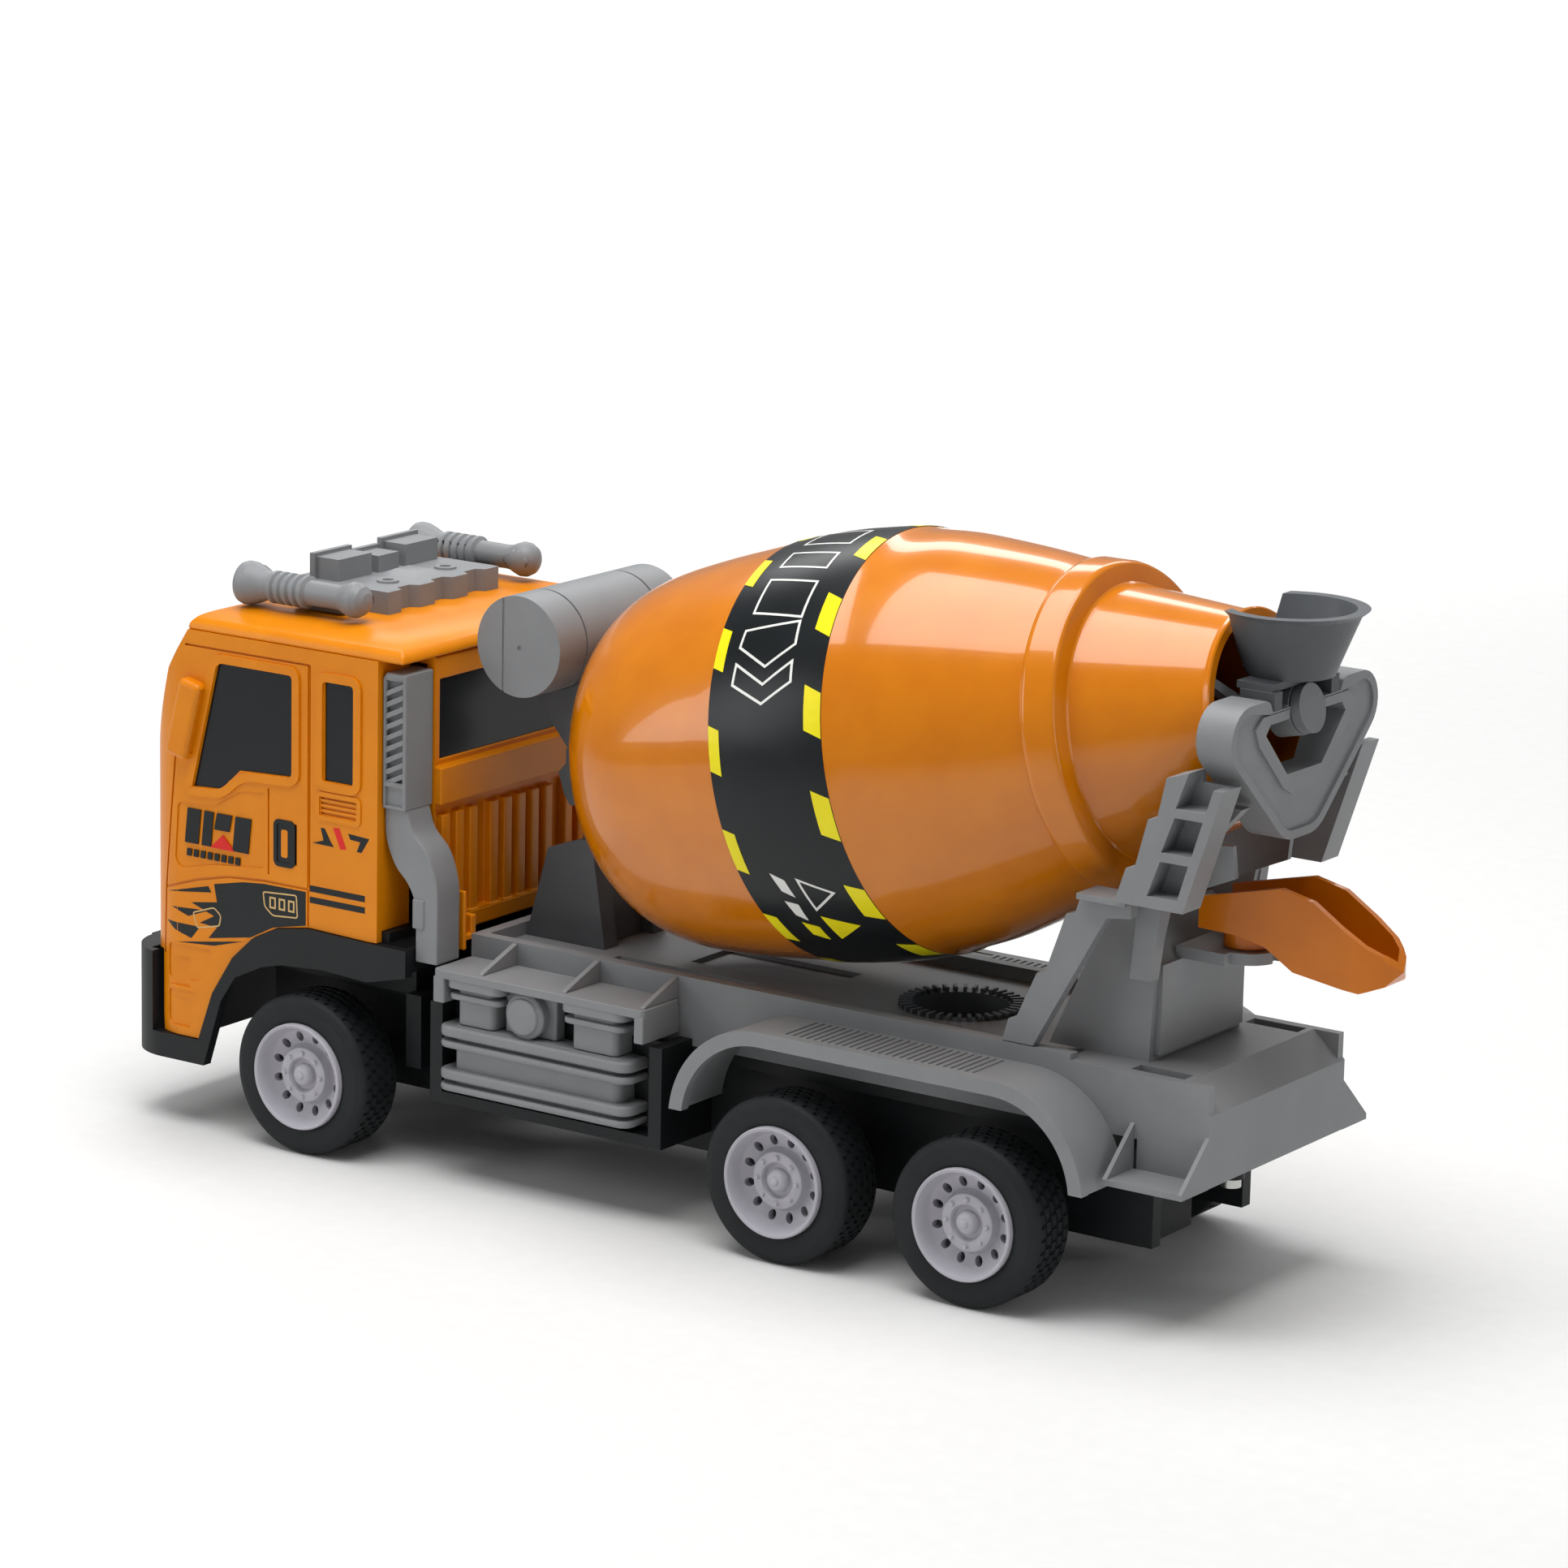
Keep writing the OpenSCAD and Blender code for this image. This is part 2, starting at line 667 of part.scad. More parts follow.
// Side ladder: lower stringer, a tread, and three bays between leaning stringers
module ladder() {
    color("gray") {
        side_plate(deck_hw - 3.4, deck_hw) polygon([[-90, 64.2], [-99, 64.2], [-119, 100], [-126, 101],
            [-126, 106], [-112, 106], [-110, 100], [-107.5, 99.5], [-102, 84], [-99.5, 83], [-94, 71], [-91.6, 70]]);
        difference() {
            side_plate(29.5, 38) polygon([[-124, 106], [-143.4, 106], [-153.6, 137.8], [-143.8, 137.8],
                [-143.8, 141], [-137.6, 139], [-135.4, 129], [-132.8, 128], [-129.6, 116], [-127, 115]]);
            side_plate(31.5, 40) for (i = [0:2])
                translate([i * -3.6, i * 11.4]) polygon([[-133.2, 109], [-141.6, 109], [-144.4, 118], [-136.6, 118]]);
        }
        block(-126, -112, 26, 36, 104.4, 106);
    }
}

// Thick shield-shaped plate with a V hole, holding the drum's rear bearing
module saddle() {
    color("gray") difference() {
        union() {
            rotate([90, 0, -90]) translate([0, 0, 144]) linear_extrude(10) difference() {
                union() {
                    for (s = [-1, 1])
                        hull() {
                            translate([s * 27.4, 148.7]) circle(r = 8.3);
                            translate([s * 3.6, 131.4]) circle(r = 11.4);
                        }
                    translate([-27.4, 150]) square([54.8, saddle_top_z - 150]);
                    translate([-5, 120]) square([10, 18]);
                }
                polygon([[-17.6, 150.8], [17.6, 150.8], [19.2, 148], [8.6, 137], [-8.6, 137], [-19.2, 148]]);
                translate([-16, saddle_top_z - 3.3]) square([32, 10]);
            }
            on_drum_axis() translate([0, 0, 117]) cylinder(r = 6.5, h = 6.6);
        }
        on_drum_axis() translate([0, 0, 100]) cylinder(r = spindle_r + play, h = 40);
        on_drum_axis() translate([0, 0, 123.6]) cylinder(r = 8.2, h = 12);
        on_drum_axis() translate([0, 0, 105]) cylinder(r = 27.4, h = 9);
    }
}

// Half funnel above the drum's mouth, open towards the drum
module hopper() {
    color("slategray") difference() {
        union() {
            translate([-149, 0, hopper_z]) cylinder(r1 = 11, r2 = 17.4, h = 16);
            translate([-149, 0, hopper_z + 15]) cylinder(r1 = 17, r2 = 19, h = 1.6);
            block(-153, -143, -15.6, 15.6, hopper_z - 1.9, hopper_z);
            both_sides() block(-153.9, -144.1, 12, 15.8, saddle_top_z - 3.3, hopper_z - 1.9);
        }
        translate([-149, 0, hopper_z + 1.6]) cylinder(r1 = 9.6, r2 = 16.1, h = 16);
        block(-139, -120, -30, 30, 150, 190);
        block(-141, -120, -8, 8, hopper_z + 1.6, 190);
    }
}

// Guide shell below the mouth that drops the load into the chute, open to the rear
module discharge_scoop() {
    base = 103.6;
    color("dimgray") difference() {
        translate([-139, 0, base]) cylinder(r1 = 13.2, r2 = 16, h = 15);
        translate([-139, 0, base - 0.1]) cylinder(r1 = 11.6, r2 = 14.4, h = 15.2);
        block(-170, -143.6, -30, 30, 100, 140);
        side_plate(-20, 20) polygon([[-125, 103], [-129, 103.6], [-148, 112], [-148, 103]]);
        on_drum_axis() translate([0, 0, 76]) cylinder(r1 = 36, r2 = 25.8, h = 37);
    }
}

// Orange trough that swings about its collar
module chute() {
    color("darkorange") difference() {
        union() {
            translate([chute_pin_x, 0, platform_z + gap]) cylinder(r = 6, h = 4.4);
            intersection() {
                side_plate(-9, 9) polygon([[-131, 103], [-131, 95], [-142, 94.7], [-150, 93], [-158, 88],
                    [-176, 85.4], [-181.6, 87.4], [chute_tip_x, 90.6], [-180.6, 95], [-163, 106.4], [-154, 108.4]]);
                linear_extrude(120) polygon([[-120, -9], [-172, -9], [-178, -7.8], [-182, -4.6], [chute_tip_x, 0],
                    [-182, 4.6], [-178, 7.8], [-172, 9], [-120, 9]]);
            }
        }
        intersection() {
            side_plate(-7.2, 7.2) polygon([[-127, 112], [-127, 98.2], [-142, 97.4], [-150, 95.6], [-158.6, 90.4],
                [-176, 87.8], [-179.8, 89.2], [-190, 100], [-190, 120], [-150, 120]]);
            linear_extrude(130) polygon([[-120, -8], [-170.6, -7.2], [-177, -6.2], [-180.4, -3.8], [-182.2, 0],
                [-180.4, 3.8], [-177, 6.2], [-170.6, 7.2], [-120, 8]]);
        }
        translate([chute_pin_x, 0, 80]) cylinder(r = 2.06, h = 30);
    }
}

module chute_pin() {
    color("silver") {
        translate([chute_pin_x, 0, 85.6]) cylinder(r = 2, h = 12.8);
        translate([chute_pin_x, 0, 98.4]) cylinder(r = 3.4, h = 1.4);
    }
}

// ---- drum ----------------------------------------------------------------------

// Half profile of the drum's outside: [distance along the axis, radius]
front_profile = [[-78, 27], [-76.6, 32], [-74, 37.4], [-69, 42.6], [-62, 46.8], [-52, 50], [-38, 52.2],
    [-20, 54.2], [-6, drum_r]];
rear_profile = [[6, drum_r], [18, 54.3], [30, 52.2], [42, 49.2], [55, 45.4], [67.6, 41.2]];

module front_skin(inset) {
    i = inset;
    on_drum_axis() rotate_extrude(angle = 360) polygon(concat([[0, -78 + i], [27 - i * 0.4, -78 + i]],
        [for (p = front_profile) if (p[0] > -78) [p[1] - i, p[0] + i * 0.3]], [[drum_r - i, 0], [0, 0]]));
}

module drum_front_shell() {
    color("orange") difference() {
        front_skin(0);
        front_skin(drum_wall);
        on_drum_axis() translate([0, 0, -90]) cylinder(r = spindle_r + 0.02, h = 30);
        on_drum_axis() translate([0, 0, -16.4]) difference() {
            cylinder(r = 60, h = 20);
            cylinder(r = 54, h = 20);
        }
    }
}

// Rear cone, stepped collar and neck
module drum_rear_shell() {
    w = drum_wall;
    outer = concat([[drum_r, 0]], [for (p = rear_profile) [p[1], p[0]]],
        [[41.2, 69], [42.2, 69.2], [40.4, 77.6], [34.6, 78], [25, 112], [26, 113]]);
    inner = [[23.2, 113], [23.2, 111.4], [32.4, 78.6], [39.2, 67], [46.8, 42], [drum_r - w, 6], [drum_r - w, 0]];
    color("orange") difference() {
        on_drum_axis() rotate_extrude() polygon(concat(outer, inner));
        on_drum_axis() translate([0, 0, -1]) difference() {
            cylinder(r = 60, h = 19.4);
            cylinder(r = 54, h = 19.4);
        }
    }
}

// Printed label band round the widest part
module drum_band() {
    color([0.12, 0.12, 0.14]) on_drum_axis() rotate_extrude() polygon([[54.05, -16.3], [54.7, -16.3],
        [drum_r + 0.3, -6], [drum_r + 0.3, 6], [54.6, 18.3], [54.05, 18.3]]);
}

// Six mixing blades that stand on the drum's inner wall
module drum_fins() {
    color("orange") intersection() {
        front_skin(drum_wall);
        on_drum_axis() for (i = [0:5])
            rotate([0, 0, i * 60]) translate([0, 0, -48 + i * 4.6]) rotate([14, 0, 0])
                translate([40, -1, -9]) cube([20, 2, 18]);
    }
}

module drum_front_spindle() {
    color("silver") on_drum_axis() {
        translate([0, 0, -96]) cylinder(r = spindle_r, h = 24);
        translate([0, 0, -78 + drum_wall]) cylinder(r = 9, h = 2);
    }
}

// Three-armed hub in the mouth with the rear pin and its round head
module drum_rear_hub() {
    color("lightgray") on_drum_axis() {
        translate([0, 0, 108]) cylinder(r = 5, h = 4);
        translate([0, 0, 108]) cylinder(r = spindle_r, h = 16.2);
        translate([0, 0, 124]) cylinder(r = 6.2, h = 2.6);
        for (a = [60, 180, 300])
            rotate([0, 0, a]) translate([0, -1.2, 108]) cube([23.1, 2.4, 3]);
    }
}

// ---- assembly ------------------------------------------------------------------

chassis();
chassis_screws();
axle(front_axle_x);  // front_axle
axle(mid_axle_x);  // mid_axle
axle(rear_axle_x);  // rear_axle
rim(front_axle_x);  // rim_front_left
mirror([0, 1, 0]) rim(front_axle_x);  // rim_front_right
rim(mid_axle_x);  // rim_mid_left
mirror([0, 1, 0]) rim(mid_axle_x);  // rim_mid_right
rim(rear_axle_x);  // rim_rear_left
mirror([0, 1, 0]) rim(rear_axle_x);  // rim_rear_right
tyre(front_axle_x);  // tyre_front_left
mirror([0, 1, 0]) tyre(front_axle_x);  // tyre_front_right
tyre(mid_axle_x);  // tyre_mid_left
mirror([0, 1, 0]) tyre(mid_axle_x);  // tyre_mid_right
tyre(rear_axle_x);  // tyre_rear_left
mirror([0, 1, 0]) tyre(rear_axle_x);  // tyre_rear_right
axle_gear();
idler_gear();
flywheel();
motor_housing();
front_bumper();
cab_shell();
cab_roof();
cab_rear_wall();
windscreen();
side_window();  // side_window_left
mirror([0, 1, 0]) side_window();  // side_window_right
rear_window();
grille();
headlamps();
mirror_housing();  // mirror_left
mirror([0, 1, 0]) mirror_housing();  // mirror_right
roof_rack();
exhaust_stack();  // exhaust_left
mirror([0, 1, 0]) exhaust_stack();  // exhaust_right
water_tank();
tank_bracket();
drum_pedestal();
deck();
fender();  // fender_left
mirror([0, 1, 0]) fender();  // fender_right
side_boxes();  // side_boxes_left
mirror([0, 1, 0]) side_boxes();  // side_boxes_right
tooth_ring();
rear_tower();
ladder();  // ladder_left
mirror([0, 1, 0]) ladder();  // ladder_right
discharge_scoop();
saddle();
hopper();
chute();
chute_pin();
drum_front_shell();
drum_rear_shell();
drum_band();
drum_fins();
drum_front_spindle();
drum_rear_hub();
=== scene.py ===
# %% [markdown]
# # A toy concrete mixer truck
# This lesson dresses a finished CAD model of a moulded plastic toy. The CAD frame says where every
# part is and how it moves. Blender adds what the eye looks for: soft edges left by the mould, the
# profile of each wheel, window frames, printed bands and the sheen of each plastic.
# The frame is +X towards the cab, +Y to the driver's left, +Z up. Sizes here are in millimetres and
# turn to metres in one place, the value MM.

# %% Load the frame
import bpy
import json
import math
from mathutils import Matrix, Quaternion, Vector

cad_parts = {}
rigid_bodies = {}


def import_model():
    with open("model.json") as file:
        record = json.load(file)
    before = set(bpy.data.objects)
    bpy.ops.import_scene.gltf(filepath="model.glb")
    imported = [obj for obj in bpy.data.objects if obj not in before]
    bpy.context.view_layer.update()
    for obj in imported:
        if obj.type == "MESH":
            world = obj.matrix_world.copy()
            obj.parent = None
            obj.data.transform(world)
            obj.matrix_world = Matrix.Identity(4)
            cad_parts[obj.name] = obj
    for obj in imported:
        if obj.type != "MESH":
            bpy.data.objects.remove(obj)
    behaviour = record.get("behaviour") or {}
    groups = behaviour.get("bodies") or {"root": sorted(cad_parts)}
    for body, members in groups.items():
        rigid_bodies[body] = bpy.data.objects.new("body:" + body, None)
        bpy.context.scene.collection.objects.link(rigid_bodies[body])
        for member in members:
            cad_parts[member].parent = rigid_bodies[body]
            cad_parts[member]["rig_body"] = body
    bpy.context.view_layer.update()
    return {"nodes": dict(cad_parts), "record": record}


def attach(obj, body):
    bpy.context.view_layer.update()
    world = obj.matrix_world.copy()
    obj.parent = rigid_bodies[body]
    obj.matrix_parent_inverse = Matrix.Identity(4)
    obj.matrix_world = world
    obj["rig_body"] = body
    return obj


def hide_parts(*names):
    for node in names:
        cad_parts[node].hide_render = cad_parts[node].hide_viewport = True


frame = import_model()
MM = 0.001

# %% [markdown]
# ## Colour and node helpers
# Colours are given as sRGB hex values, but shaders work in linear light, so one function
# converts them. A second small function adds a shader node with its settings and its links, which
# keeps each material short enough to read as a recipe.

# %% Colour and node helpers
def linear(hex_colour):
    """An sRGB hex colour as linear RGBA."""
    parts = [int(hex_colour[i:i + 2], 16) / 255 for i in (1, 3, 5)]
    return [c / 12.92 if c <= 0.04045 else ((c + 0.055) / 1.055) ** 2.4 for c in parts] + [1]


def node(tree, kind, settings=(), links=()):
    """Adds a shader node. Settings name a socket or a property, links are (socket, node, output)."""
    made = tree.nodes.new(kind)
    for key, value in dict(settings).items():
        if isinstance(key, str) and hasattr(made, key):
            setattr(made, key, value)
        else:
            made.inputs[key].default_value = value
    for socket, source, output in links:
        tree.links.new(source.outputs[output], made.inputs[socket])
    return made


def new_material(name):
    """An empty material with its shader and output, and Object coordinates in metres."""
    material = bpy.data.materials.new(name)
    material.use_nodes = True
    tree = material.node_tree
    tree.nodes.clear()
    shader = node(tree, "ShaderNodeBsdfPrincipled")
    node(tree, "ShaderNodeOutputMaterial", links=[("Surface", shader, "BSDF")])
    place = node(tree, "ShaderNodeTexCoord")
    return material, tree, shader, place


# %% [markdown]
# ## Moulded plastics
# Nearly all of this toy is injection-moulded ABS. It is never perfectly even: the tool's surface is
# finely eroded, which breaks up the highlight, and the colour clouds a little where the melt flowed.
# One recipe makes them all: a faint cloud in the colour, a cloud in the roughness, and a fine grain
# as bump. A real grain of 0.05 mm would be too fine to show, so it is drawn at 0.3 mm.

# %% Moulded plastic recipe
ABS_IOR = 1.53
# The studio is white all round, so the whole reflection of the plastic would wash its colour out.
SKIN_REFLECTION = 0.26
CLOUD_MM = 14
GRAIN_MM = 0.3
GRAIN_DEEP_MM = 0.05


def moulded_abs(name, light, deep, roughness, grain, polish=0.0):
    """ABS between two close colours. Polish adds the clear gloss of a polished mould."""
    material, tree, shader, place = new_material(name)
    cloud = node(tree, "ShaderNodeTexNoise", {"Scale": 1 / (CLOUD_MM * MM), "Detail": 3.0},
                 [("Vector", place, "Object")])
    colour = node(tree, "ShaderNodeValToRGB", links=[("Fac", cloud, "Fac")])
    colour.color_ramp.elements[0].position = 0.3
    colour.color_ramp.elements[0].color = linear(deep)
    colour.color_ramp.elements[1].position = 0.7
    colour.color_ramp.elements[1].color = linear(light)
    tree.links.new(colour.outputs["Color"], shader.inputs["Base Color"])
    rough = node(tree, "ShaderNodeMapRange", {"To Min": roughness * 0.9, "To Max": roughness * 1.12},
                 [("Value", cloud, "Fac")])
    tree.links.new(rough.outputs["Result"], shader.inputs["Roughness"])
    fine = node(tree, "ShaderNodeTexNoise", {"Scale": 1 / (GRAIN_MM * MM), "Detail": 2.0},
                [("Vector", place, "Object")])
    bump = node(tree, "ShaderNodeBump", {"Strength": grain, "Distance": GRAIN_DEEP_MM * MM},
                [("Height", fine, "Fac")])
    tree.links.new(bump.outputs["Normal"], shader.inputs["Normal"])
    shader.inputs["IOR"].default_value = ABS_IOR
    shader.inputs["Specular IOR Level"].default_value = SKIN_REFLECTION
    shader.inputs["Coat Weight"].default_value = polish
    shader.inputs["Coat Roughness"].default_value = 0.05
    return material


cab_orange = moulded_abs("satin_orange_abs", "#de8400", "#d67c00", 0.36, 0.5)
drum_orange = moulded_abs("polished_orange_abs", "#d07800", "#c87000", 0.2, 0.1, 0.6)
chute_orange = moulded_abs("glossy_orange_abs", "#c96e00", "#c06600", 0.3, 0.3, 0.2)
grey_abs = moulded_abs("satin_grey_abs", "#858789", "#7f8183", 0.42, 0.6)
dark_grey_abs = moulded_abs("satin_dark_grey_abs", "#56595c", "#505356", 0.44, 0.6)
black_abs = moulded_abs("satin_black_abs", "#16191c", "#111416", 0.5, 0.7)
rim_silver = moulded_abs("silver_filled_abs", "#b4b2ba", "#acaab2", 0.38, 0.5)
white_acetal = moulded_abs("white_acetal", "#e8e6de", "#dedcd2", 0.4, 0.3)
print("plastics:", len(bpy.data.materials))

# %% [markdown]
# ## Rubber, glazing, print and steel
# The tyres are a soft matt vinyl with a dusty bloom. The windows are dark film behind clear plastic,
# so they are black with a sharp reflection. Printed marks are thin inks over the plastic. The axles
# are drawn steel, with faint scratches that run along them.

# %% Rubber, glazing, print and steel
VINYL_IOR = 1.52
SCRATCH_MM = 0.4


def tyre_vinyl():
    """Matt black vinyl with a grey bloom."""
    material = moulded_abs("matt_black_vinyl", "#1f2224", "#16191b", 0.62, 0.9)
    shader = material.node_tree.nodes["Principled BSDF"]
    shader.inputs["IOR"].default_value = VINYL_IOR
    return material


def printed_ink(name, light, deep, roughness=0.3):
    """A thin even ink on plastic."""
    return moulded_abs(name, light, deep, roughness, 0.1)


def drawn_steel(name, light, deep, roughness):
    """Bright steel with fine marks stretched along its length."""
    material, tree, shader, place = new_material(name)
    along = node(tree, "ShaderNodeMapping", {"Scale": (1.0, 0.06, 1.0)}, [("Vector", place, "Object")])
    marks = node(tree, "ShaderNodeTexNoise", {"Scale": 1 / (SCRATCH_MM * MM), "Detail": 4.0},
                 [("Vector", along, "Vector")])
    colour = node(tree, "ShaderNodeMix", {"data_type": "RGBA", 6: linear(deep), 7: linear(light)},
                  [(0, marks, "Fac")])
    tree.links.new(colour.outputs[2], shader.inputs["Base Color"])
    rough = node(tree, "ShaderNodeMapRange", {"To Min": roughness * 0.7, "To Max": roughness * 1.4},
                 [("Value", marks, "Fac")])
    tree.links.new(rough.outputs["Result"], shader.inputs["Roughness"])
    shader.inputs["Metallic"].default_value = 1
    return material


black_vinyl = tyre_vinyl()
dark_film = printed_ink("dark_window_film", "#12161a", "#0e1215", 0.22)
black_ink = printed_ink("black_ink", "#14181b", "#101416")
yellow_ink = printed_ink("yellow_ink", "#f0e21a", "#e8d80c")
red_ink = printed_ink("red_ink", "#d8201c", "#cc1814")
tan_ink = printed_ink("tan_ink", "#cfae74", "#c5a267")
white_ink = printed_ink("white_ink", "#e4e4e0", "#dadad6")
lamp_lens = printed_ink("silvered_lamp_lens", "#e9edf0", "#dfe4e8", 0.12)
bright_steel = drawn_steel("drawn_steel", "#c9cacc", "#a5a7aa", 0.28)
zinc_steel = drawn_steel("zinc_plated_steel", "#d2d3d0", "#b2b4b0", 0.34)
print("materials:", len(bpy.data.materials))

# %% [markdown]
# ## Camera, light and floor
# The toy stands on a pale table under one large soft light from above, with weaker light from
# the sides. Large area lights give the long soft highlights along the drum. The camera stands far
# back with a long lens, behind the truck on its left, so that parallel edges stay nearly parallel.

# %% Camera
CAMERA_PLACE = (-0.8442, 1.2318, 0.4590)
VIEW_AHEAD = (0.5504, -0.8033, -0.2276)
CAMERA_ROLL = math.radians(1.227)
LENS_MM = 135.76

camera_data = bpy.data.cameras.new("studio_camera")
camera_data.lens = LENS_MM
camera_data.sensor_width = 36
camera = bpy.data.objects.new("studio_camera", camera_data)
bpy.context.scene.collection.objects.link(camera)
facing = Vector(VIEW_AHEAD).to_track_quat("-Z", "Y")
camera.rotation_mode = "QUATERNION"
camera.rotation_quaternion = facing @ Quaternion((0, 0, 1), CAMERA_ROLL)
camera.location = CAMERA_PLACE
bpy.context.scene.camera = camera
print("camera stands", round(camera.location.length, 2), "m from the truck")

# %% Lights and floor
def softbox(name, place, target, size, watts):
    """A square area light that looks at a point."""
    light = bpy.data.lights.new(name, "AREA")
    light.size = size
    light.energy = watts
    lamp = bpy.data.objects.new(name, light)
    bpy.context.scene.collection.objects.link(lamp)
    lamp.location = place
    lamp.rotation_euler = (Vector(target) - Vector(place)).to_track_quat("-Z", "Y").to_euler()
    return lamp


def deselect_all():
    """Leaves edit mode and selects nothing, so that the next operator acts on its own piece only."""
    if bpy.context.mode != "OBJECT":
        bpy.ops.object.mode_set(mode="OBJECT")
    bpy.ops.object.select_all(action="DESELECT")


softbox("overhead_softbox", (0.0, 0.1, 0.95), (0, 0, 0.1), 0.8, 11)
softbox("cab_softbox", (0.9, 0.9, 0.5), (0, 0, 0.08), 0.6, 3.2)
softbox("tail_softbox", (-1.0, 0.2, 0.35), (0, 0, 0.08), 0.5, 0.8)
softbox("backdrop_softbox", (1.2, -2.0, 1.5), (1.6, -2.4, 0), 2.4, 75)

world = bpy.data.worlds.new("studio_room")
world.use_nodes = True
world.node_tree.nodes["Background"].inputs["Color"].default_value = linear("#f4f5f6")
world.node_tree.nodes["Background"].inputs["Strength"].default_value = 0.28
bpy.context.scene.world = world
bpy.context.scene.view_settings.view_transform = "Standard"

FIBRE_MM = 6
deselect_all()
bpy.ops.mesh.primitive_plane_add(size=8, location=(0, 0, 0))
floor = bpy.context.object
floor.name = "pale_floor"
paper, paper_tree, paper_shader, paper_place = new_material("pale_studio_paper")
fibre = node(paper_tree, "ShaderNodeTexNoise", {"Scale": 1 / (FIBRE_MM * MM)},
             [("Vector", paper_place, "Object")])
paper_tint = node(paper_tree, "ShaderNodeMix",
                  {"data_type": "RGBA", 6: linear("#dfdfde"), 7: linear("#e5e5e4")}, [(0, fibre, "Fac")])
paper_tree.links.new(paper_tint.outputs[2], paper_shader.inputs["Base Color"])
paper_shader.inputs["Roughness"].default_value = 0.9
floor.data.materials.append(paper)
print("lights:", len(bpy.data.lights))

# %% [markdown]
# ## Soft moulded edges on the plain parts
# A moulded part has no knife edges: steel tools are cut with small radii, so every corner catches a
# thin line of light. A CAD mesh is loose triangles with hard corners. The plain way to soften it is
# to copy the mesh, weld its points, dissolve the lines across flat faces, and bevel what is still a
# real corner. The CAD node itself stays as it is, and the softened copy stands for it.

# %% Softening helper
def finish_edges(piece, radius, segments=2, corner=32):
    """Bevels the real corners and smooths the rest."""
    bpy.context.view_layer.objects.active = piece
    if radius:
        bevel = piece.modifiers.new("mould_radius", "BEVEL")
        bevel.width = radius * MM
        bevel.segments = segments
        bevel.limit_method = "ANGLE"
        bevel.angle_limit = math.radians(corner)
        bevel.use_clamp_overlap = True
        bpy.ops.object.modifier_apply(modifier="mould_radius")
    bpy.ops.object.shade_smooth_by_angle(angle=math.radians(corner))
    evened = piece.modifiers.new("even_normals", "WEIGHTED_NORMAL")
    evened.keep_sharp = True
    bpy.ops.object.modifier_apply(modifier="even_normals")


def weld(piece, gap=0.002):
    """Merges the doubled points of a copied CAD mesh and dissolves lines across its flat faces."""
    deselect_all()
    piece.select_set(True)
    bpy.context.view_layer.objects.active = piece
    bpy.ops.object.mode_set(mode="EDIT")
    bpy.ops.mesh.select_all(action="SELECT")
    bpy.ops.mesh.remove_doubles(threshold=gap * MM)
    bpy.ops.mesh.dissolve_limited(angle_limit=math.radians(0.6))
    bpy.ops.object.mode_set(mode="OBJECT")


def body_of(node_name):
    """The body that a CAD node rides on."""
    return frame["nodes"][node_name]["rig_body"]


SLOT_OF = {row["node"]: row["material_slot"] for row in frame["record"]["subparts"]}


def copy_of(piece, name):
    """A copy with a mesh of its own."""
    twin = bpy.data.objects.new(name, piece.data.copy())
    bpy.context.scene.collection.objects.link(twin)
    return twin


def place_piece(piece, material, body, slot, *nodes):
    """Gives a finished piece its material, its body and the nodes it stands for. The slot is not used."""
    piece.data.materials.clear()
    piece.data.materials.append(material)
    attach(piece, body)
    if nodes:
        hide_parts(*nodes)


def moulded(node_name, material, radius=0.35, segments=2):
    """A softened copy of a CAD node that stands for it."""
    piece = copy_of(frame["nodes"][node_name], node_name + "_moulded")
    weld(piece)
    finish_edges(piece, radius, segments)
    place_piece(piece, material, body_of(node_name), SLOT_OF[node_name], node_name)
    return piece


# %% [markdown]
# ## Helpers for new pieces
# Most new pieces start from an outline: a circle primitive whose points are moved to the corners
# wanted. Filled, it becomes a plate that is given its thickness by an extrusion. Left open, it is a
# profile that is spun about an axis. The place of a piece is written into its mesh at the end, so
# that every piece sits at the origin and only its points carry its position.

# %% Outline, edit and spin helpers
SIDES = ("left", "right")
# To the other side of the truck.
MIRROR = Matrix.Diagonal((1, -1, 1, 1))
# From a flat (x, y) outline to one that stands across the truck, in y and z.
ACROSS = Matrix(((0, 0, 1, 0), (1, 0, 0, 0), (0, 1, 0, 0), (0, 0, 0, 1)))


def outline(name, points, filled=True):
    """A flat outline of (x, y) points in mm."""
    deselect_all()
    bpy.ops.mesh.primitive_circle_add(vertices=len(points), fill_type="NGON" if filled else "NOTHING")
    piece = bpy.context.object
    piece.name = name
    for vertex, (x, y) in zip(piece.data.vertices, points):
        vertex.co = (x * MM, y * MM, 0)
    return piece


def edit(piece, action="SELECT"):
    """Opens one piece in edit mode with all or nothing selected."""
    deselect_all()
    piece.select_set(True)
    bpy.context.view_layer.objects.active = piece
    bpy.ops.object.mode_set(mode="EDIT")
    bpy.ops.mesh.select_all(action=action)


def even_normals():
    """In edit mode, merges doubles and turns all normals outwards."""
    bpy.ops.mesh.select_all(action="SELECT")
    bpy.ops.mesh.remove_doubles(threshold=0.004 * MM)
    bpy.ops.mesh.normals_make_consistent(inside=False)
    bpy.ops.object.mode_set(mode="OBJECT")


def settle(piece, matrix):
    """Writes a place into the mesh and leaves the piece at the origin."""
    deselect_all()
    piece.matrix_world = matrix
    piece.select_set(True)
    bpy.context.view_layer.objects.active = piece
    bpy.ops.object.transform_apply(location=True, rotation=True, scale=True)
    edit(piece)
    even_normals()
    return piece


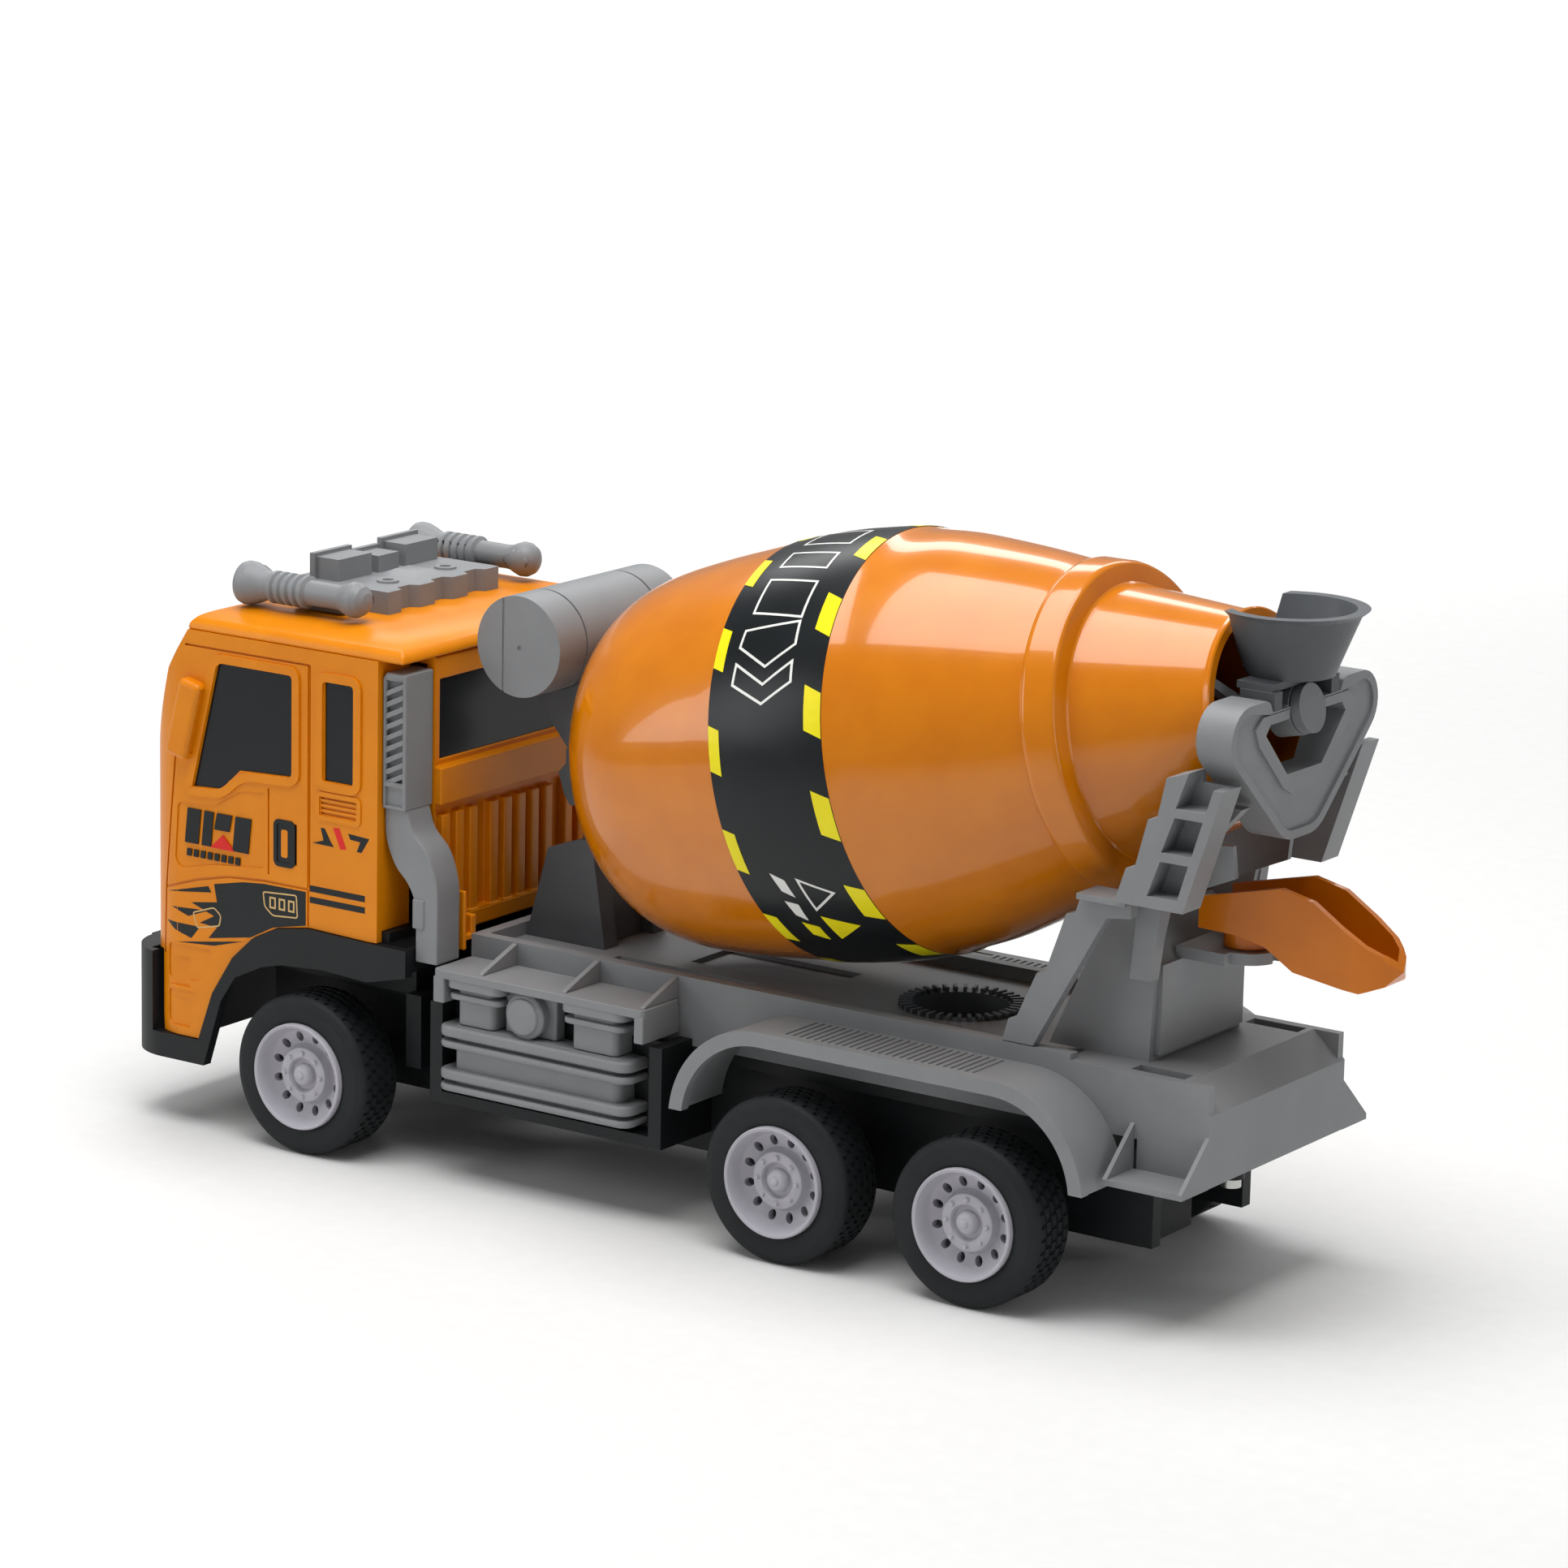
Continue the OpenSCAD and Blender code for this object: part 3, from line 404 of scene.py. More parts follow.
def join(name, pieces):
    """Joins pieces of one material into one."""
    deselect_all()
    for piece in pieces:
        piece.select_set(True)
    bpy.context.view_layer.objects.active = pieces[0]
    bpy.ops.object.join()
    pieces[0].name = name
    return pieces[0]


def spun(name, profile, steps):
    """Turns a closed profile of (radius, height) points in mm about Z."""
    piece = outline(name, profile, False)
    for vertex in piece.data.vertices:
        vertex.co = (vertex.co.x, 0, vertex.co.y)
    edit(piece)
    bpy.ops.mesh.spin(steps=steps, angle=math.tau, center=(0, 0, 0), axis=(0, 0, 1))
    even_normals()
    return piece


def plate(name, points, height):
    """A plate from an outline in mm."""
    piece = outline(name, points)
    edit(piece)
    bpy.ops.mesh.extrude_region_move(TRANSFORM_OT_translate={"value": (0, 0, height * MM)})
    even_normals()
    return piece


def select_faces(piece, wanted):
    """Opens a piece in edit mode with the faces selected that pass a test."""
    edit(piece, "DESELECT")
    bpy.ops.mesh.select_mode(type="FACE")
    bpy.ops.object.mode_set(mode="OBJECT")
    for face in piece.data.polygons:
        face.select = wanted(face)
    bpy.ops.object.mode_set(mode="EDIT")


def cut_with(piece, *cutters, crossing=False):
    """Cuts the cutters out of a piece and removes them. Crossing is for a cutter that overlaps itself."""
    for cutter in cutters:
        bpy.context.view_layer.objects.active = piece
        step = piece.modifiers.new("cut", "BOOLEAN")
        step.object = cutter
        step.solver = "EXACT"
        step.use_self = crossing
        bpy.ops.object.modifier_apply(modifier="cut")
        bpy.data.objects.remove(cutter)


def smooth_curve(points, per_span=4):
    """More points on a smooth curve that passes through the given ones."""
    ends = [points[0]] + list(points) + [points[-1]]
    made = []
    for a, b, c, d in zip(ends, ends[1:], ends[2:], ends[3:]):
        for step in range(per_span):
            t = step / per_span
            made.append(tuple(0.5 * (2 * q + (r - p) * t + (2 * p - 5 * q + 4 * r - s) * t * t
                                     + (3 * q - p - 3 * r + s) * t ** 3)
                              for p, q, r, s in zip(a, b, c, d)))
    return made + [tuple(points[-1])]


# %% [markdown]
# ## The drum
# The real drum is two thin polished shells that meet under a printed band: a round bowl at the front
# and a long cone behind it with a raised collar and a neck. Its highlights show every flaw, so a CAD
# cone made of short straight steps won't do. A profile is drawn as a smooth curve, closed inside by
# the wall's thickness, and spun in 144 steps, which shows no corners even at the outline.

# %% Spin the two drum shells
DRUM_X, DRUM_Z = -32, 125
DRUM_TILT = 12.5
DRUM_STEPS = 144
DRUM_WALL = 1.8
# From a spun piece, whose Z is the way from the bowl to the mouth, to the tilted drum.
DRUM_PLACE = (Matrix.Translation((DRUM_X * MM, 0, DRUM_Z * MM))
              @ Matrix.Rotation(math.radians(DRUM_TILT - 90), 4, "Y"))
front_curve = smooth_curve([(27, -77.9), (31.6, -76.9), (36.4, -74.8), (41.4, -70.6), (46.2, -63.6),
                            (49.8, -53), (52.2, -38), (53.9, -22), (54.4, -16.5)])
front_inside = [(r - DRUM_WALL, s + 0.9) for r, s in reversed(front_curve)]
front_joint = [(53.2, -16.4), (53.2, -2), (52.6, -2)]
front_shell = spun("drum_front_bowl",
                   [(3.1, -78)] + front_curve + front_joint + front_inside + [(3.1, -76.2)], DRUM_STEPS)
rear_curve = smooth_curve([(54.5, 18.3), (53.6, 22), (51.8, 32), (48.9, 43), (45.2, 55.5), (41.3, 67.4)])
collar = [(41.1, 68.3), (41.7, 68.9), (42.1, 69.6), (42.1, 70.4), (40.7, 76.4), (40.2, 77.3),
          (39.4, 77.8), (35.2, 78), (34.7, 78.4)]
neck = [(33.8, 81.6), (29.6, 96), (25.4, 110.4), (25.4, 111.2), (26, 111.8), (26, 112.7),
        (25.6, 113), (23.4, 113)]
rear_inside = [(23.4, 110.9), (32.4, 78.6), (39.2, 67), (46.8, 42), (52.4, 18), (52.6, -1.8),
               (53.2, -1.8), (53.2, 18.2)]
rear_shell = spun("drum_rear_cone", rear_curve + collar + neck + rear_inside, DRUM_STEPS)
for piece, stood_for in ((front_shell, "drum_front_shell"), (rear_shell, "drum_rear_shell")):
    settle(piece, DRUM_PLACE)
    finish_edges(piece, 0)
    place_piece(piece, drum_orange, "drum", "orange_drum", stood_for)
print("drum shells:", len(front_shell.data.polygons) + len(rear_shell.data.polygons), "faces")

# %% [markdown]
# ## The printed band
# The band is a printed label with a slight bulge. Its marks are very thin plates that follow the
# curve: they are laid out flat, with the way round the drum in degrees and the way along it in
# millimetres, cut into short strips, given a thickness, and then wrapped on. The dashes are slanted
# like hazard tape. The large outlined shapes are plain blocks and carry no word.

# %% Label and flat layout
BULGE = 0.00284
LABEL_R = 55.5
LABEL_START, LABEL_END = -16.3, 18.3
LABEL_RINGS = 16
MARK_LIFT = 0.03
MARK_THICK = 0.07
# The marks are cut this fine before they are wrapped, in degrees and in mm along the drum.
STRIP_TURN, STRIP_ALONG = 3, 4


def band_radius(along):
    """The label's radius at a place along the drum, in mm."""
    return LABEL_R - BULGE * (along - 0.5) ** 2


label_places = [LABEL_START + i * (LABEL_END - LABEL_START) / LABEL_RINGS for i in range(LABEL_RINGS + 1)]
label_curve = [(band_radius(s), s) for s in label_places]
label = spun("drum_label", label_curve + [(53.25, LABEL_END), (53.25, LABEL_START)], DRUM_STEPS)
settle(label, DRUM_PLACE)
finish_edges(label, 0)
place_piece(label, black_ink, "drum", "printed_band", "drum_band")
print("label faces:", len(label.data.polygons))


def slanted(start, s0, s1, length, slant):
    """A slanted dash as (degrees, along) corners."""
    return [(start, s0), (start + length, s0), (start + length + slant, s1), (start + slant, s1)]


def wrapped(name, shapes, line=0.0):
    """Marks on the drum from (degrees, along) outlines, filled or as a line."""
    pieces = [outline("%s_%02d" % (name, i), shape) for i, shape in enumerate(shapes)]
    piece = join(name, pieces)
    edit(piece)
    if line:
        bpy.ops.mesh.inset(thickness=line * MM, depth=0, use_individual=True)
        bpy.ops.mesh.delete(type="FACE")
    edit(piece)
    for cut in range(360 // STRIP_TURN):
        bpy.ops.mesh.select_all(action="SELECT")
        bpy.ops.mesh.bisect(plane_co=((cut * STRIP_TURN + 0.5) * MM, 0, 0), plane_no=(1, 0, 0))
    for cut in range(-4, 5):
        bpy.ops.mesh.select_all(action="SELECT")
        bpy.ops.mesh.bisect(plane_co=(0, cut * STRIP_ALONG * MM, 0), plane_no=(0, 1, 0))
    bpy.ops.mesh.select_all(action="SELECT")
    bpy.ops.mesh.extrude_region_move(TRANSFORM_OT_translate={"value": (0, 0, MARK_THICK * MM)})
    bpy.ops.object.mode_set(mode="OBJECT")
    for vertex in piece.data.vertices:
        turn, along, up = math.radians(vertex.co.x / MM), vertex.co.y / MM, vertex.co.z / MM
        radius = (band_radius(along) + MARK_LIFT + up) * MM
        vertex.co = (radius * math.cos(turn), radius * math.sin(turn), along * MM)
    settle(piece, DRUM_PLACE)
    return piece


# %% Dashes, blocks and warning marks
def both_halves(shapes):
    """The same marks again on the far half of the drum."""
    return shapes + [[(a + 180, s) for a, s in shape] for shape in shapes]


DASHES = 13
dash_pitch = 360 / DASHES
dashes = [slanted(10 + i * dash_pitch, 13.4, 18.2, 12, 2.6) for i in range(DASHES)]
dashes += [slanted(18.5 + i * dash_pitch, -16.2, -12.8, 12, 1.6) for i in range(DASHES)]
arrows = [[(131, 1), (136.5, 10), (142, 1)], [(133, -6), (135.5, -2), (142, -2.5), (139, -6)]]
yellow_marks = wrapped("drum_yellow_marks", dashes + both_halves(arrows))
place_piece(yellow_marks, yellow_ink, "drum", "printed_band")
bars = [[(115, -6.5), (117.5, -3), (123.5, -2.5), (121, -5.5)],
        [(124.5, -6.5), (126, -3), (132.5, -3.5), (130, -6)]]
pale_marks = wrapped("drum_pale_marks", both_halves(bars))
blocks = [slanted(-14, -8, 8.5, 9, 3), slanted(0, -8, 8.5, 12, 3), slanted(17, -8, 8.5, 8, 3),
          slanted(30, -8, 8.5, 13, 3), [(48, -8.5), (46.5, 8.5), (54, 9), (60, 0.6), (53.5, -9)],
          [(57.5, -9), (64, 0.6), (58, 9), (64.5, 9.4), (70, 0.6), (64, -9.4)],
          [(117, 0.5), (123, 10), (129, 1)]]
line_marks = wrapped("drum_line_marks", both_halves(blocks), 0.7)
pale_marks = join("drum_pale_marks", [pale_marks, line_marks])
place_piece(pale_marks, white_ink, "drum", "printed_band")
print("band marks:", len(yellow_marks.data.polygons) + len(pale_marks.data.polygons), "faces")

# %% [markdown]
# ## The wheels
# A toy wheel of this kind is a silver rim pressed into a soft black tyre. The rim is turned: a bright
# lip, a deep dish, a flat hub disc and a small dome. Twelve oval vents are cut through the dish in
# one boolean with a joined cutter, and eight lugs stand on the hub. The tyre is spun with grooves
# round it, then every third face of its blocks is pressed in, which gives the cross grooves.

# %% One rim
RIM_FACE = 54.6
TYRE_IN = 37.35
TYRE_OUT = 53.35
VENTS, VENT_RING = 12, 10.2
LUGS, LUG_RING = 8, 6
# The rim's back edge lies 0.6 mm inside the tyre. Heights on the rim are counted from its face.
rim_back = TYRE_IN + 0.6 - RIM_FACE
lip = [(0, -1.1), (0.8, -1.15), (1.1, -1.4), (1.2, -1.8), (2, -1.9), (2.5, -2.3), (2.8, -3),
       (3.1, -4.3), (4.3, -4.3), (4.6, -3.2), (4.9, -2.9), (7, -3), (7.4, -3.3), (7.8, -4.9),
       (8.4, -5.5), (11.7, -4.7), (12.4, -4.2), (12.9, -2.6), (13.2, -0.7), (13.5, -0.2), (14.1, 0),
       (14.4, -0.2), (14.5, -0.6)]
back = [(14.5, rim_back), (13.3, rim_back), (12.9, -8), (12, -6.8), (4.2, -8), (4.2, -30.2), (1.6, -30.2),
        (1.6, -6.4), (0, -6.4)]
rim = spun("turned_rim", [(r, RIM_FACE + h) for r, h in lip + back], 96)
vents = []
for i in range(VENTS):
    bpy.ops.mesh.primitive_cylinder_add(vertices=20, radius=1.12 * MM, depth=8 * MM)
    turn = Matrix.Rotation(math.tau * (i + 0.5) / VENTS, 4, "Z")
    place = Matrix.Translation((VENT_RING * MM, 0, (RIM_FACE - 6) * MM))
    vents.append(settle(bpy.context.object, turn @ place @ Matrix.Diagonal((1.25, 1, 1, 1))))
cut_with(rim, join("vent_cutter", vents))
lugs = []
for i in range(LUGS):
    bpy.ops.mesh.primitive_cone_add(vertices=16, radius1=0.75 * MM, radius2=0.5 * MM, depth=0.8 * MM)
    turn = Matrix.Rotation(math.tau * i / LUGS, 4, "Z")
    place = Matrix.Translation((LUG_RING * MM, 0, (RIM_FACE - 2.6) * MM))
    lugs.append(settle(bpy.context.object, turn @ place))
rim = join("turned_rim", [rim] + lugs)
print("rim faces:", len(rim.data.polygons))

# %% One tyre
TYRE_R, GROOVE_R = 21.8, 21.2
TREAD_ROWS, ROW_PITCH = 5, 2.5
TREAD_STEPS = 120
step_degrees = 360 / TREAD_STEPS
tread = []
for row in range(TREAD_ROWS):
    y0 = TYRE_IN + 2 + row * ROW_PITCH
    tread += [(TYRE_R, y0), (TYRE_R, y0 + 1.9)]
    if row < TREAD_ROWS - 1:
        tread += [(GROOVE_R, y0 + 2), (GROOVE_R, y0 + 2.4)]
shoulder_in = [(14.6, TYRE_IN + 0.4), (15.6, TYRE_IN), (19, TYRE_IN), (19.5, TYRE_IN + 0.3),
               (20.8, TYRE_IN + 0.5), (21.5, TYRE_IN + 1.2)]
shoulder_out = [(21.5, TYRE_OUT - 1.2), (20.8, TYRE_OUT - 0.5), (19.6, TYRE_OUT - 0.3),
                (19.2, TYRE_OUT), (15.6, TYRE_OUT), (14.6, TYRE_OUT - 0.4)]


def pressed_in(face):
    """Whether a face is one of the tread's cross grooves: every third one, a step further in each row."""
    radius = math.hypot(face.center.x, face.center.y) / MM
    turn = math.degrees(math.atan2(face.center.y, face.center.x)) % 360
    step = round((turn - step_degrees / 2) / step_degrees)
    row = round((face.center.z / MM - TYRE_IN - 2.95) / ROW_PITCH)
    return radius > TYRE_R - 0.1 and (step + row) % 3 == 0 and abs(face.normal.z) < 0.3


tyre = spun("block_tyre", shoulder_in + tread + shoulder_out, TREAD_STEPS)
select_faces(tyre, pressed_in)
bpy.ops.mesh.inset(thickness=0.12 * MM, depth=-0.5 * MM, use_individual=True)
bpy.ops.object.mode_set(mode="OBJECT")
print("tyre faces:", len(tyre.data.polygons))

# %% Six wheels
AXLES = {"front": 118, "mid": -36, "rear": -93}
AXLE_Z = 21.8
for axle, x in AXLES.items():
    for side, sign in zip(SIDES, (1, -1)):
        place = (Matrix.Translation((x * MM, 0, AXLE_Z * MM)) @ Matrix.Diagonal((1, sign, 1, 1))
                 @ Matrix.Rotation(math.radians(-90), 4, "X"))
        for shape, material, slot, stem in ((rim, rim_silver, "silver_rim", "rim"),
                                            (tyre, black_vinyl, "black_tyre", "tyre")):
            piece = settle(copy_of(shape, "%s_%s_%s_turned" % (stem, axle, side)), place)
            finish_edges(piece, 0, corner=38)
            place_piece(piece, material, axle + "_wheels", slot, "%s_%s_%s" % (stem, axle, side))
for pattern in (rim, tyre):
    bpy.data.objects.remove(pattern)
print("wheels:", len(AXLES) * len(SIDES))

# %% [markdown]
# ## The cab's side
# On the real cab the doors are grooves and shallow panels in one moulding, the windows sit behind a
# raised border, and all the marks are printed on. The grooves and panels are cut into the copy of the
# shell with one boolean, whose cutters are ribbons along the seams. Borders and marks are plates.
# The cab turns a round corner towards the nose, so every plate is bent in over that corner.

# %% Helpers that follow the cab's side
CAB_SIDE = 50.0
CORNER_X = 161.5
CORNER_R = 16.0
# Plates are cut into strips this wide, in mm, where they bend over the corner.
BEND_STRIP, BEND_STRIPS = 1.2, 8
SEAM_WIDE = 0.7


def cab_face(x):
    """How far out the cab's side is at x, in mm."""
    if x <= CORNER_X:
        return CAB_SIDE
    return CAB_SIDE - CORNER_R + math.sqrt(max(0, CORNER_R ** 2 - (x - CORNER_X) ** 2))


def ribbon(points, width):
    """The outline of a strip along a line of (x, z) points."""
    left, right = [], []
    for i, here in enumerate(points):
        ahead = Vector(points[min(i + 1, len(points) - 1)]) - Vector(points[max(i - 1, 0)])
        across = Vector((-ahead.y, ahead.x)).normalized() * width / 2
        left.append(tuple(Vector(here) + across))
        right.append(tuple(Vector(here) - across))
    return left + right[::-1]


def door_plates(name, outlines, thick, lift, line=0.0, corner=0.0):
    """Plates on the cab's left side. Lift is how far their face stands out from the side."""
    piece = join(name, [outline("%s_%02d" % (name, i), points) for i, points in enumerate(outlines)])
    edit(piece)
    if corner:
        bpy.ops.mesh.bevel(offset=corner * MM, segments=4, affect="VERTICES")
    if line:
        bpy.ops.mesh.select_all(action="SELECT")
        bpy.ops.mesh.inset(thickness=line * MM, depth=0, use_individual=True)
        bpy.ops.mesh.delete(type="FACE")
    for cut in range(BEND_STRIPS):
        bpy.ops.mesh.select_all(action="SELECT")
        bpy.ops.mesh.bisect(plane_co=((CORNER_X + cut * BEND_STRIP) * MM, 0, 0), plane_no=(1, 0, 0))
    bpy.ops.mesh.select_all(action="SELECT")
    bpy.ops.mesh.extrude_region_move(TRANSFORM_OT_translate={"value": (0, 0, thick * MM)})
    bpy.ops.object.mode_set(mode="OBJECT")
    for vertex in piece.data.vertices:
        x, z, depth = vertex.co
        vertex.co = (x, (cab_face(x / MM) + lift - thick) * MM + depth, z)
    edit(piece)
    even_normals()
    return piece


def on_both_sides(piece, material, slot, stem=""):
    """Places a piece on the left and its mirror image on the right. The stem names their CAD nodes."""
    twin = settle(copy_of(piece, piece.name + "_right"), MIRROR)
    piece.name += "_left"
    for half, side in ((twin, "right"), (piece, "left")):
        finish_edges(half, 0)
        place_piece(half, material, "truck", slot, *([stem + "_" + side] if stem else []))


# %% Cut the seams and panels
front_seam = ribbon([(168.6, 46.5), (167.7, 65.4), (163.6, 101.8), (158.8, 117)], SEAM_WIDE)
waist_seam = ribbon([(167.6, 65.3), (156, 69.2), (145.1, 71.7), (132.8, 72.6), (117.6, 72.6)], SEAM_WIDE)
door_seam = ribbon([(117.6, 62.4), (117.6, 78), (117.6, 133.6)], SEAM_WIDE)
handle_seam = ribbon([(131.2, 74.6), (131.2, 98)], 0.6)
sunk_panels = [[(162.6, 89.7), (149.7, 90.6), (140.5, 96), (132.4, 96.6), (132.4, 76), (150, 74.2),
                (161.5, 71.6), (163.8, 73.6)],
               [(166.4, 50.1), (150.6, 50.5), (154.6, 41), (166.4, 40.5)],
               [(166.4, 37.3), (156.2, 37.8), (158.6, 28.2), (166.4, 28.2)]]
seam_cutter = door_plates("seam_cutter", [front_seam, waist_seam, door_seam, handle_seam], 1.5, 1.0)
panel_cutter = door_plates("panel_cutter", sunk_panels, 1.35, 1.0, corner=1.2)
cutters = join("cab_cutter", [seam_cutter, panel_cutter])
twin_cutter = settle(copy_of(cutters, "cab_cutter_right"), MIRROR)
cutters = join("cab_cutter", [cutters, twin_cutter])
cab = copy_of(frame["nodes"]["cab_shell"], "cab_shell_moulded")
weld(cab)
deselect_all()
cut_with(cab, cutters, crossing=True)
finish_edges(cab, 0.3)
place_piece(cab, cab_orange, "truck", "orange_cab", "cab_shell")
print("cab shell faces:", len(cab.data.polygons))

# %% Borders, louvre frame and handle
window_border = [(160.4, 92.2), (150.5, 132.2), (120.5, 132.2), (120.5, 99.9), (140, 98.9), (146.4, 92.8)]
slim_border = [(99.8, 100.4), (115.0, 100.4), (115.0, 132.2), (99.8, 132.2)]
borders = door_plates("window_borders", [window_border, slim_border], 0.9, 0.6, line=2.4, corner=3.4)
louvre_border = [(99.8, 92.2), (115, 92.2), (115, 100), (99.8, 100)]
louvre_frame = door_plates("louvre_frame", [louvre_border], 0.7, 0.4, line=1.3, corner=1.6)
grip_outline = [(124.6, 80), (126.8, 80), (126.8, 87.6), (124.6, 87.6)]
grip = door_plates("door_grip", [grip_outline], 1.2, 0.1, corner=0.6)
on_both_sides(join("cab_borders", [borders, louvre_frame, grip]), cab_orange, "orange_cab")
ring_outline = [(122, 77.4), (129.3, 77.4), (129.3, 90.3), (122, 90.3)]
recess_ring = door_plates("recess_ring", [ring_outline], 0.5, 0.25, line=1.2, corner=1.7)
back_outline = [(122, 78), (129, 78), (129, 90), (122, 90)]
recess_back = door_plates("recess_back", [back_outline], 0.25, 0.02, corner=1.5)
on_both_sides(join("door_handle", [recess_ring, recess_back]), black_ink, "dark_glazing")

# %% [markdown]
# ## Printed marks on the cab
# The marks are pad-printed: an even film of ink a few hundredths of a millimetre thick, with crisp
# edges. Here they are plates that stand 0.06 mm proud, enough to be seen without flickering. Where a
# real toy carries a word, this one carries plain slanted blocks of the same size.

# %% Printed marks
INK_LIFT = 0.06
INK_THICK = 0.3
# Red and tan are printed over the black.
SECOND_LIFT = INK_LIFT + 0.03


def slanted_block(x, z0, z1, width, lean=1.0):
    """A leaning block; its foot is at x."""
    return [(x, z0), (x - width, z0), (x - width - lean, z1), (x - lean, z1)]


word_blocks = [slanted_block(160.2, 79, 88.6, 4.6), slanted_block(154.4, 79, 88.6, 3.2),
               slanted_block(143.6, 79, 88.6, 5.4), slanted_block(150, 84, 88.6, 5.2)]
small_blocks = [slanted_block(159.6 - i * 2.4, 75.4, 77.4, 1.6, 0.2) for i in range(8)]
slashes = [[(116.1, 85.6), (108.9, 85.5), (110, 86.8), (112, 90.1), (113.4, 90.1), (112.4, 86.8)],
           [(104.1, 89.9), (97, 89.5), (99.6, 85.4), (101.2, 85.4), (100, 88.2), (103.4, 88.4)]]
stripes = [[(117, z), (98.4, z), (98.4, z + 1.7), (117, z + 1.7)] for z in (72.2, 69.1)]
swoosh = [[(150, 68.9), (140, 71), (132.8, 71.7), (118.4, 71.8), (118.4, 62.6), (129.7, 60.2),
           (137.4, 56.2), (152, 53.6), (149, 57), (155, 57.4), (150, 60), (158, 62.6), (149, 64)],
          [(166.6, 64.4), (152, 68), (151, 66.4)], [(165, 60.4), (152, 61.2), (159, 58.6)],
          [(167.2, 56.2), (155, 56.2), (158, 52.6), (164, 54.2)], [(163, 50.8), (140, 54.6), (150, 51.8)]]
black_marks = door_plates("cab_black_marks", word_blocks + small_blocks + slashes + stripes + swoosh,
                          INK_THICK, INK_LIFT)
on_both_sides(black_marks, black_ink, "dark_glazing")
red_marks = door_plates("cab_red_marks", [[(151.3, 78.9), (143, 78.9), (147, 82.8)],
                                          [(109.2, 90.7), (107.1, 90.9), (104.7, 85.5), (106.7, 85.2)]],
                        INK_THICK, SECOND_LIFT)
on_both_sides(red_marks, red_ink, "dark_glazing")
badge = door_plates("cab_badge", [[(133.2, 69.7), (121.4, 70.5), (121, 64), (129.7, 63.3), (132.6, 65.5)],
                                  [(157.6, 60), (150, 62.6), (147.4, 60.6), (148, 57.4), (156, 55.6)]],
                    INK_THICK, SECOND_LIFT, line=0.4, corner=0.8)
bar_outlines = [slanted_block(x, 65.4, 68.6, 2.2, 0) for x in (130.8, 127.6, 124.4)]
badge_bars = door_plates("cab_badge_bars", bar_outlines, INK_THICK, SECOND_LIFT, line=0.5)
on_both_sides(join("cab_badge", [badge, badge_bars]), tan_ink, "dark_glazing")
print("cab marks are printed on both sides")

# %% [markdown]
# ## Roof and mirrors
# The roof is a crowned cap: it leaves the gutter steeply and flattens towards the middle. A cube's
# top face is inset again and again while it is raised along a quarter of an ellipse, which gives that
# curve in a few rings. The mirrors are small rounded housings, so a cube is leaned back, its edges
# are bevelled generously, and the face that looks to the rear is pressed in for the glass.

# %% Crowned roof
ROOF_LOW, ROOF_TOP = 137.5, 143.5
ROOF_MIDDLE, ROOF_LONG, ROOF_WIDE = 122.7, 73, 99.6
RIM_HIGH = 0.6
CROWN_WIDE, CROWN_RINGS = 13.0, 10
deselect_all()
bpy.ops.mesh.primitive_cube_add(size=1)
roof_place = Matrix.Translation((ROOF_MIDDLE * MM, 0, (ROOF_LOW + RIM_HIGH / 2) * MM))
roof_size = Matrix.Diagonal((ROOF_LONG * MM, ROOF_WIDE * MM, RIM_HIGH * MM, 1))
roof = settle(bpy.context.object, roof_place @ roof_size)
select_faces(roof, lambda face: face.normal.z > 0.9)
for ring in range(CROWN_RINGS):
    a, b = math.pi / 2 * ring / CROWN_RINGS, math.pi / 2 * (ring + 1) / CROWN_RINGS
    inward = CROWN_WIDE * (math.cos(a) - math.cos(b))
    upward = (ROOF_TOP - ROOF_LOW - RIM_HIGH) * (math.sin(b) - math.sin(a))
    bpy.ops.mesh.inset(thickness=inward * MM, depth=0)
    bpy.ops.transform.translate(value=(0, 0, upward * MM))
even_normals()
corners = roof.modifiers.new("corner_radius", "BEVEL")
corners.width = 4 * MM
corners.segments = 6
corners.limit_method = "ANGLE"
corners.angle_limit = math.radians(60)
bpy.context.view_layer.objects.active = roof
bpy.ops.object.modifier_apply(modifier="corner_radius")
roof.name = "cab_roof_crowned"
deselect_all()
roof.select_set(True)
bpy.context.view_layer.objects.active = roof
bpy.ops.object.shade_smooth_by_angle(angle=math.radians(40))
place_piece(roof, cab_orange, "truck", "orange_cab", "cab_roof")
print("roof box in mm:", [round(v / MM, 1) for v in roof.dimensions])

# %% Mirrors
MIRROR_LEAN = -14
mirror_place = Matrix.Translation((158.6 * MM, 51 * MM, 113.4 * MM))
bpy.ops.mesh.primitive_cube_add(size=1)
mirror = bpy.context.object
mirror.name = "door_mirror"
settle(mirror, mirror_place @ Matrix.Rotation(math.radians(MIRROR_LEAN), 4, "Y")
       @ Matrix.Diagonal((7.6 * MM, 5 * MM, 22 * MM, 1)))
edit(mirror)
bpy.ops.mesh.bevel(offset=1.7 * MM, segments=4, affect="EDGES")
select_faces(mirror, lambda face: face.normal.x < -0.95)
bpy.ops.mesh.inset(thickness=0.3 * MM, depth=-0.5 * MM)
bpy.ops.object.mode_set(mode="OBJECT")
print("mirror faces:", len(mirror.data.polygons))
on_both_sides(mirror, cab_orange, "orange_cab", "mirror")

# %% [markdown]
# ## The rear bracket
# The bracket that holds the drum's rear pin is a thick grey casting with two round shoulders, a blunt
# foot and a V-shaped hole. Its rear face has a raised border all round and a narrow bead beside the
# hole. A plate is drawn from a rounded outline, the hole is cut with a boolean, and the face between
# border and bead is pressed in by a second, shallow cutter.

# %% Rear bracket
BRACKET_BACK, BRACKET_FRONT = -154.0, -144.0
RELIEF_DEEP = 0.8


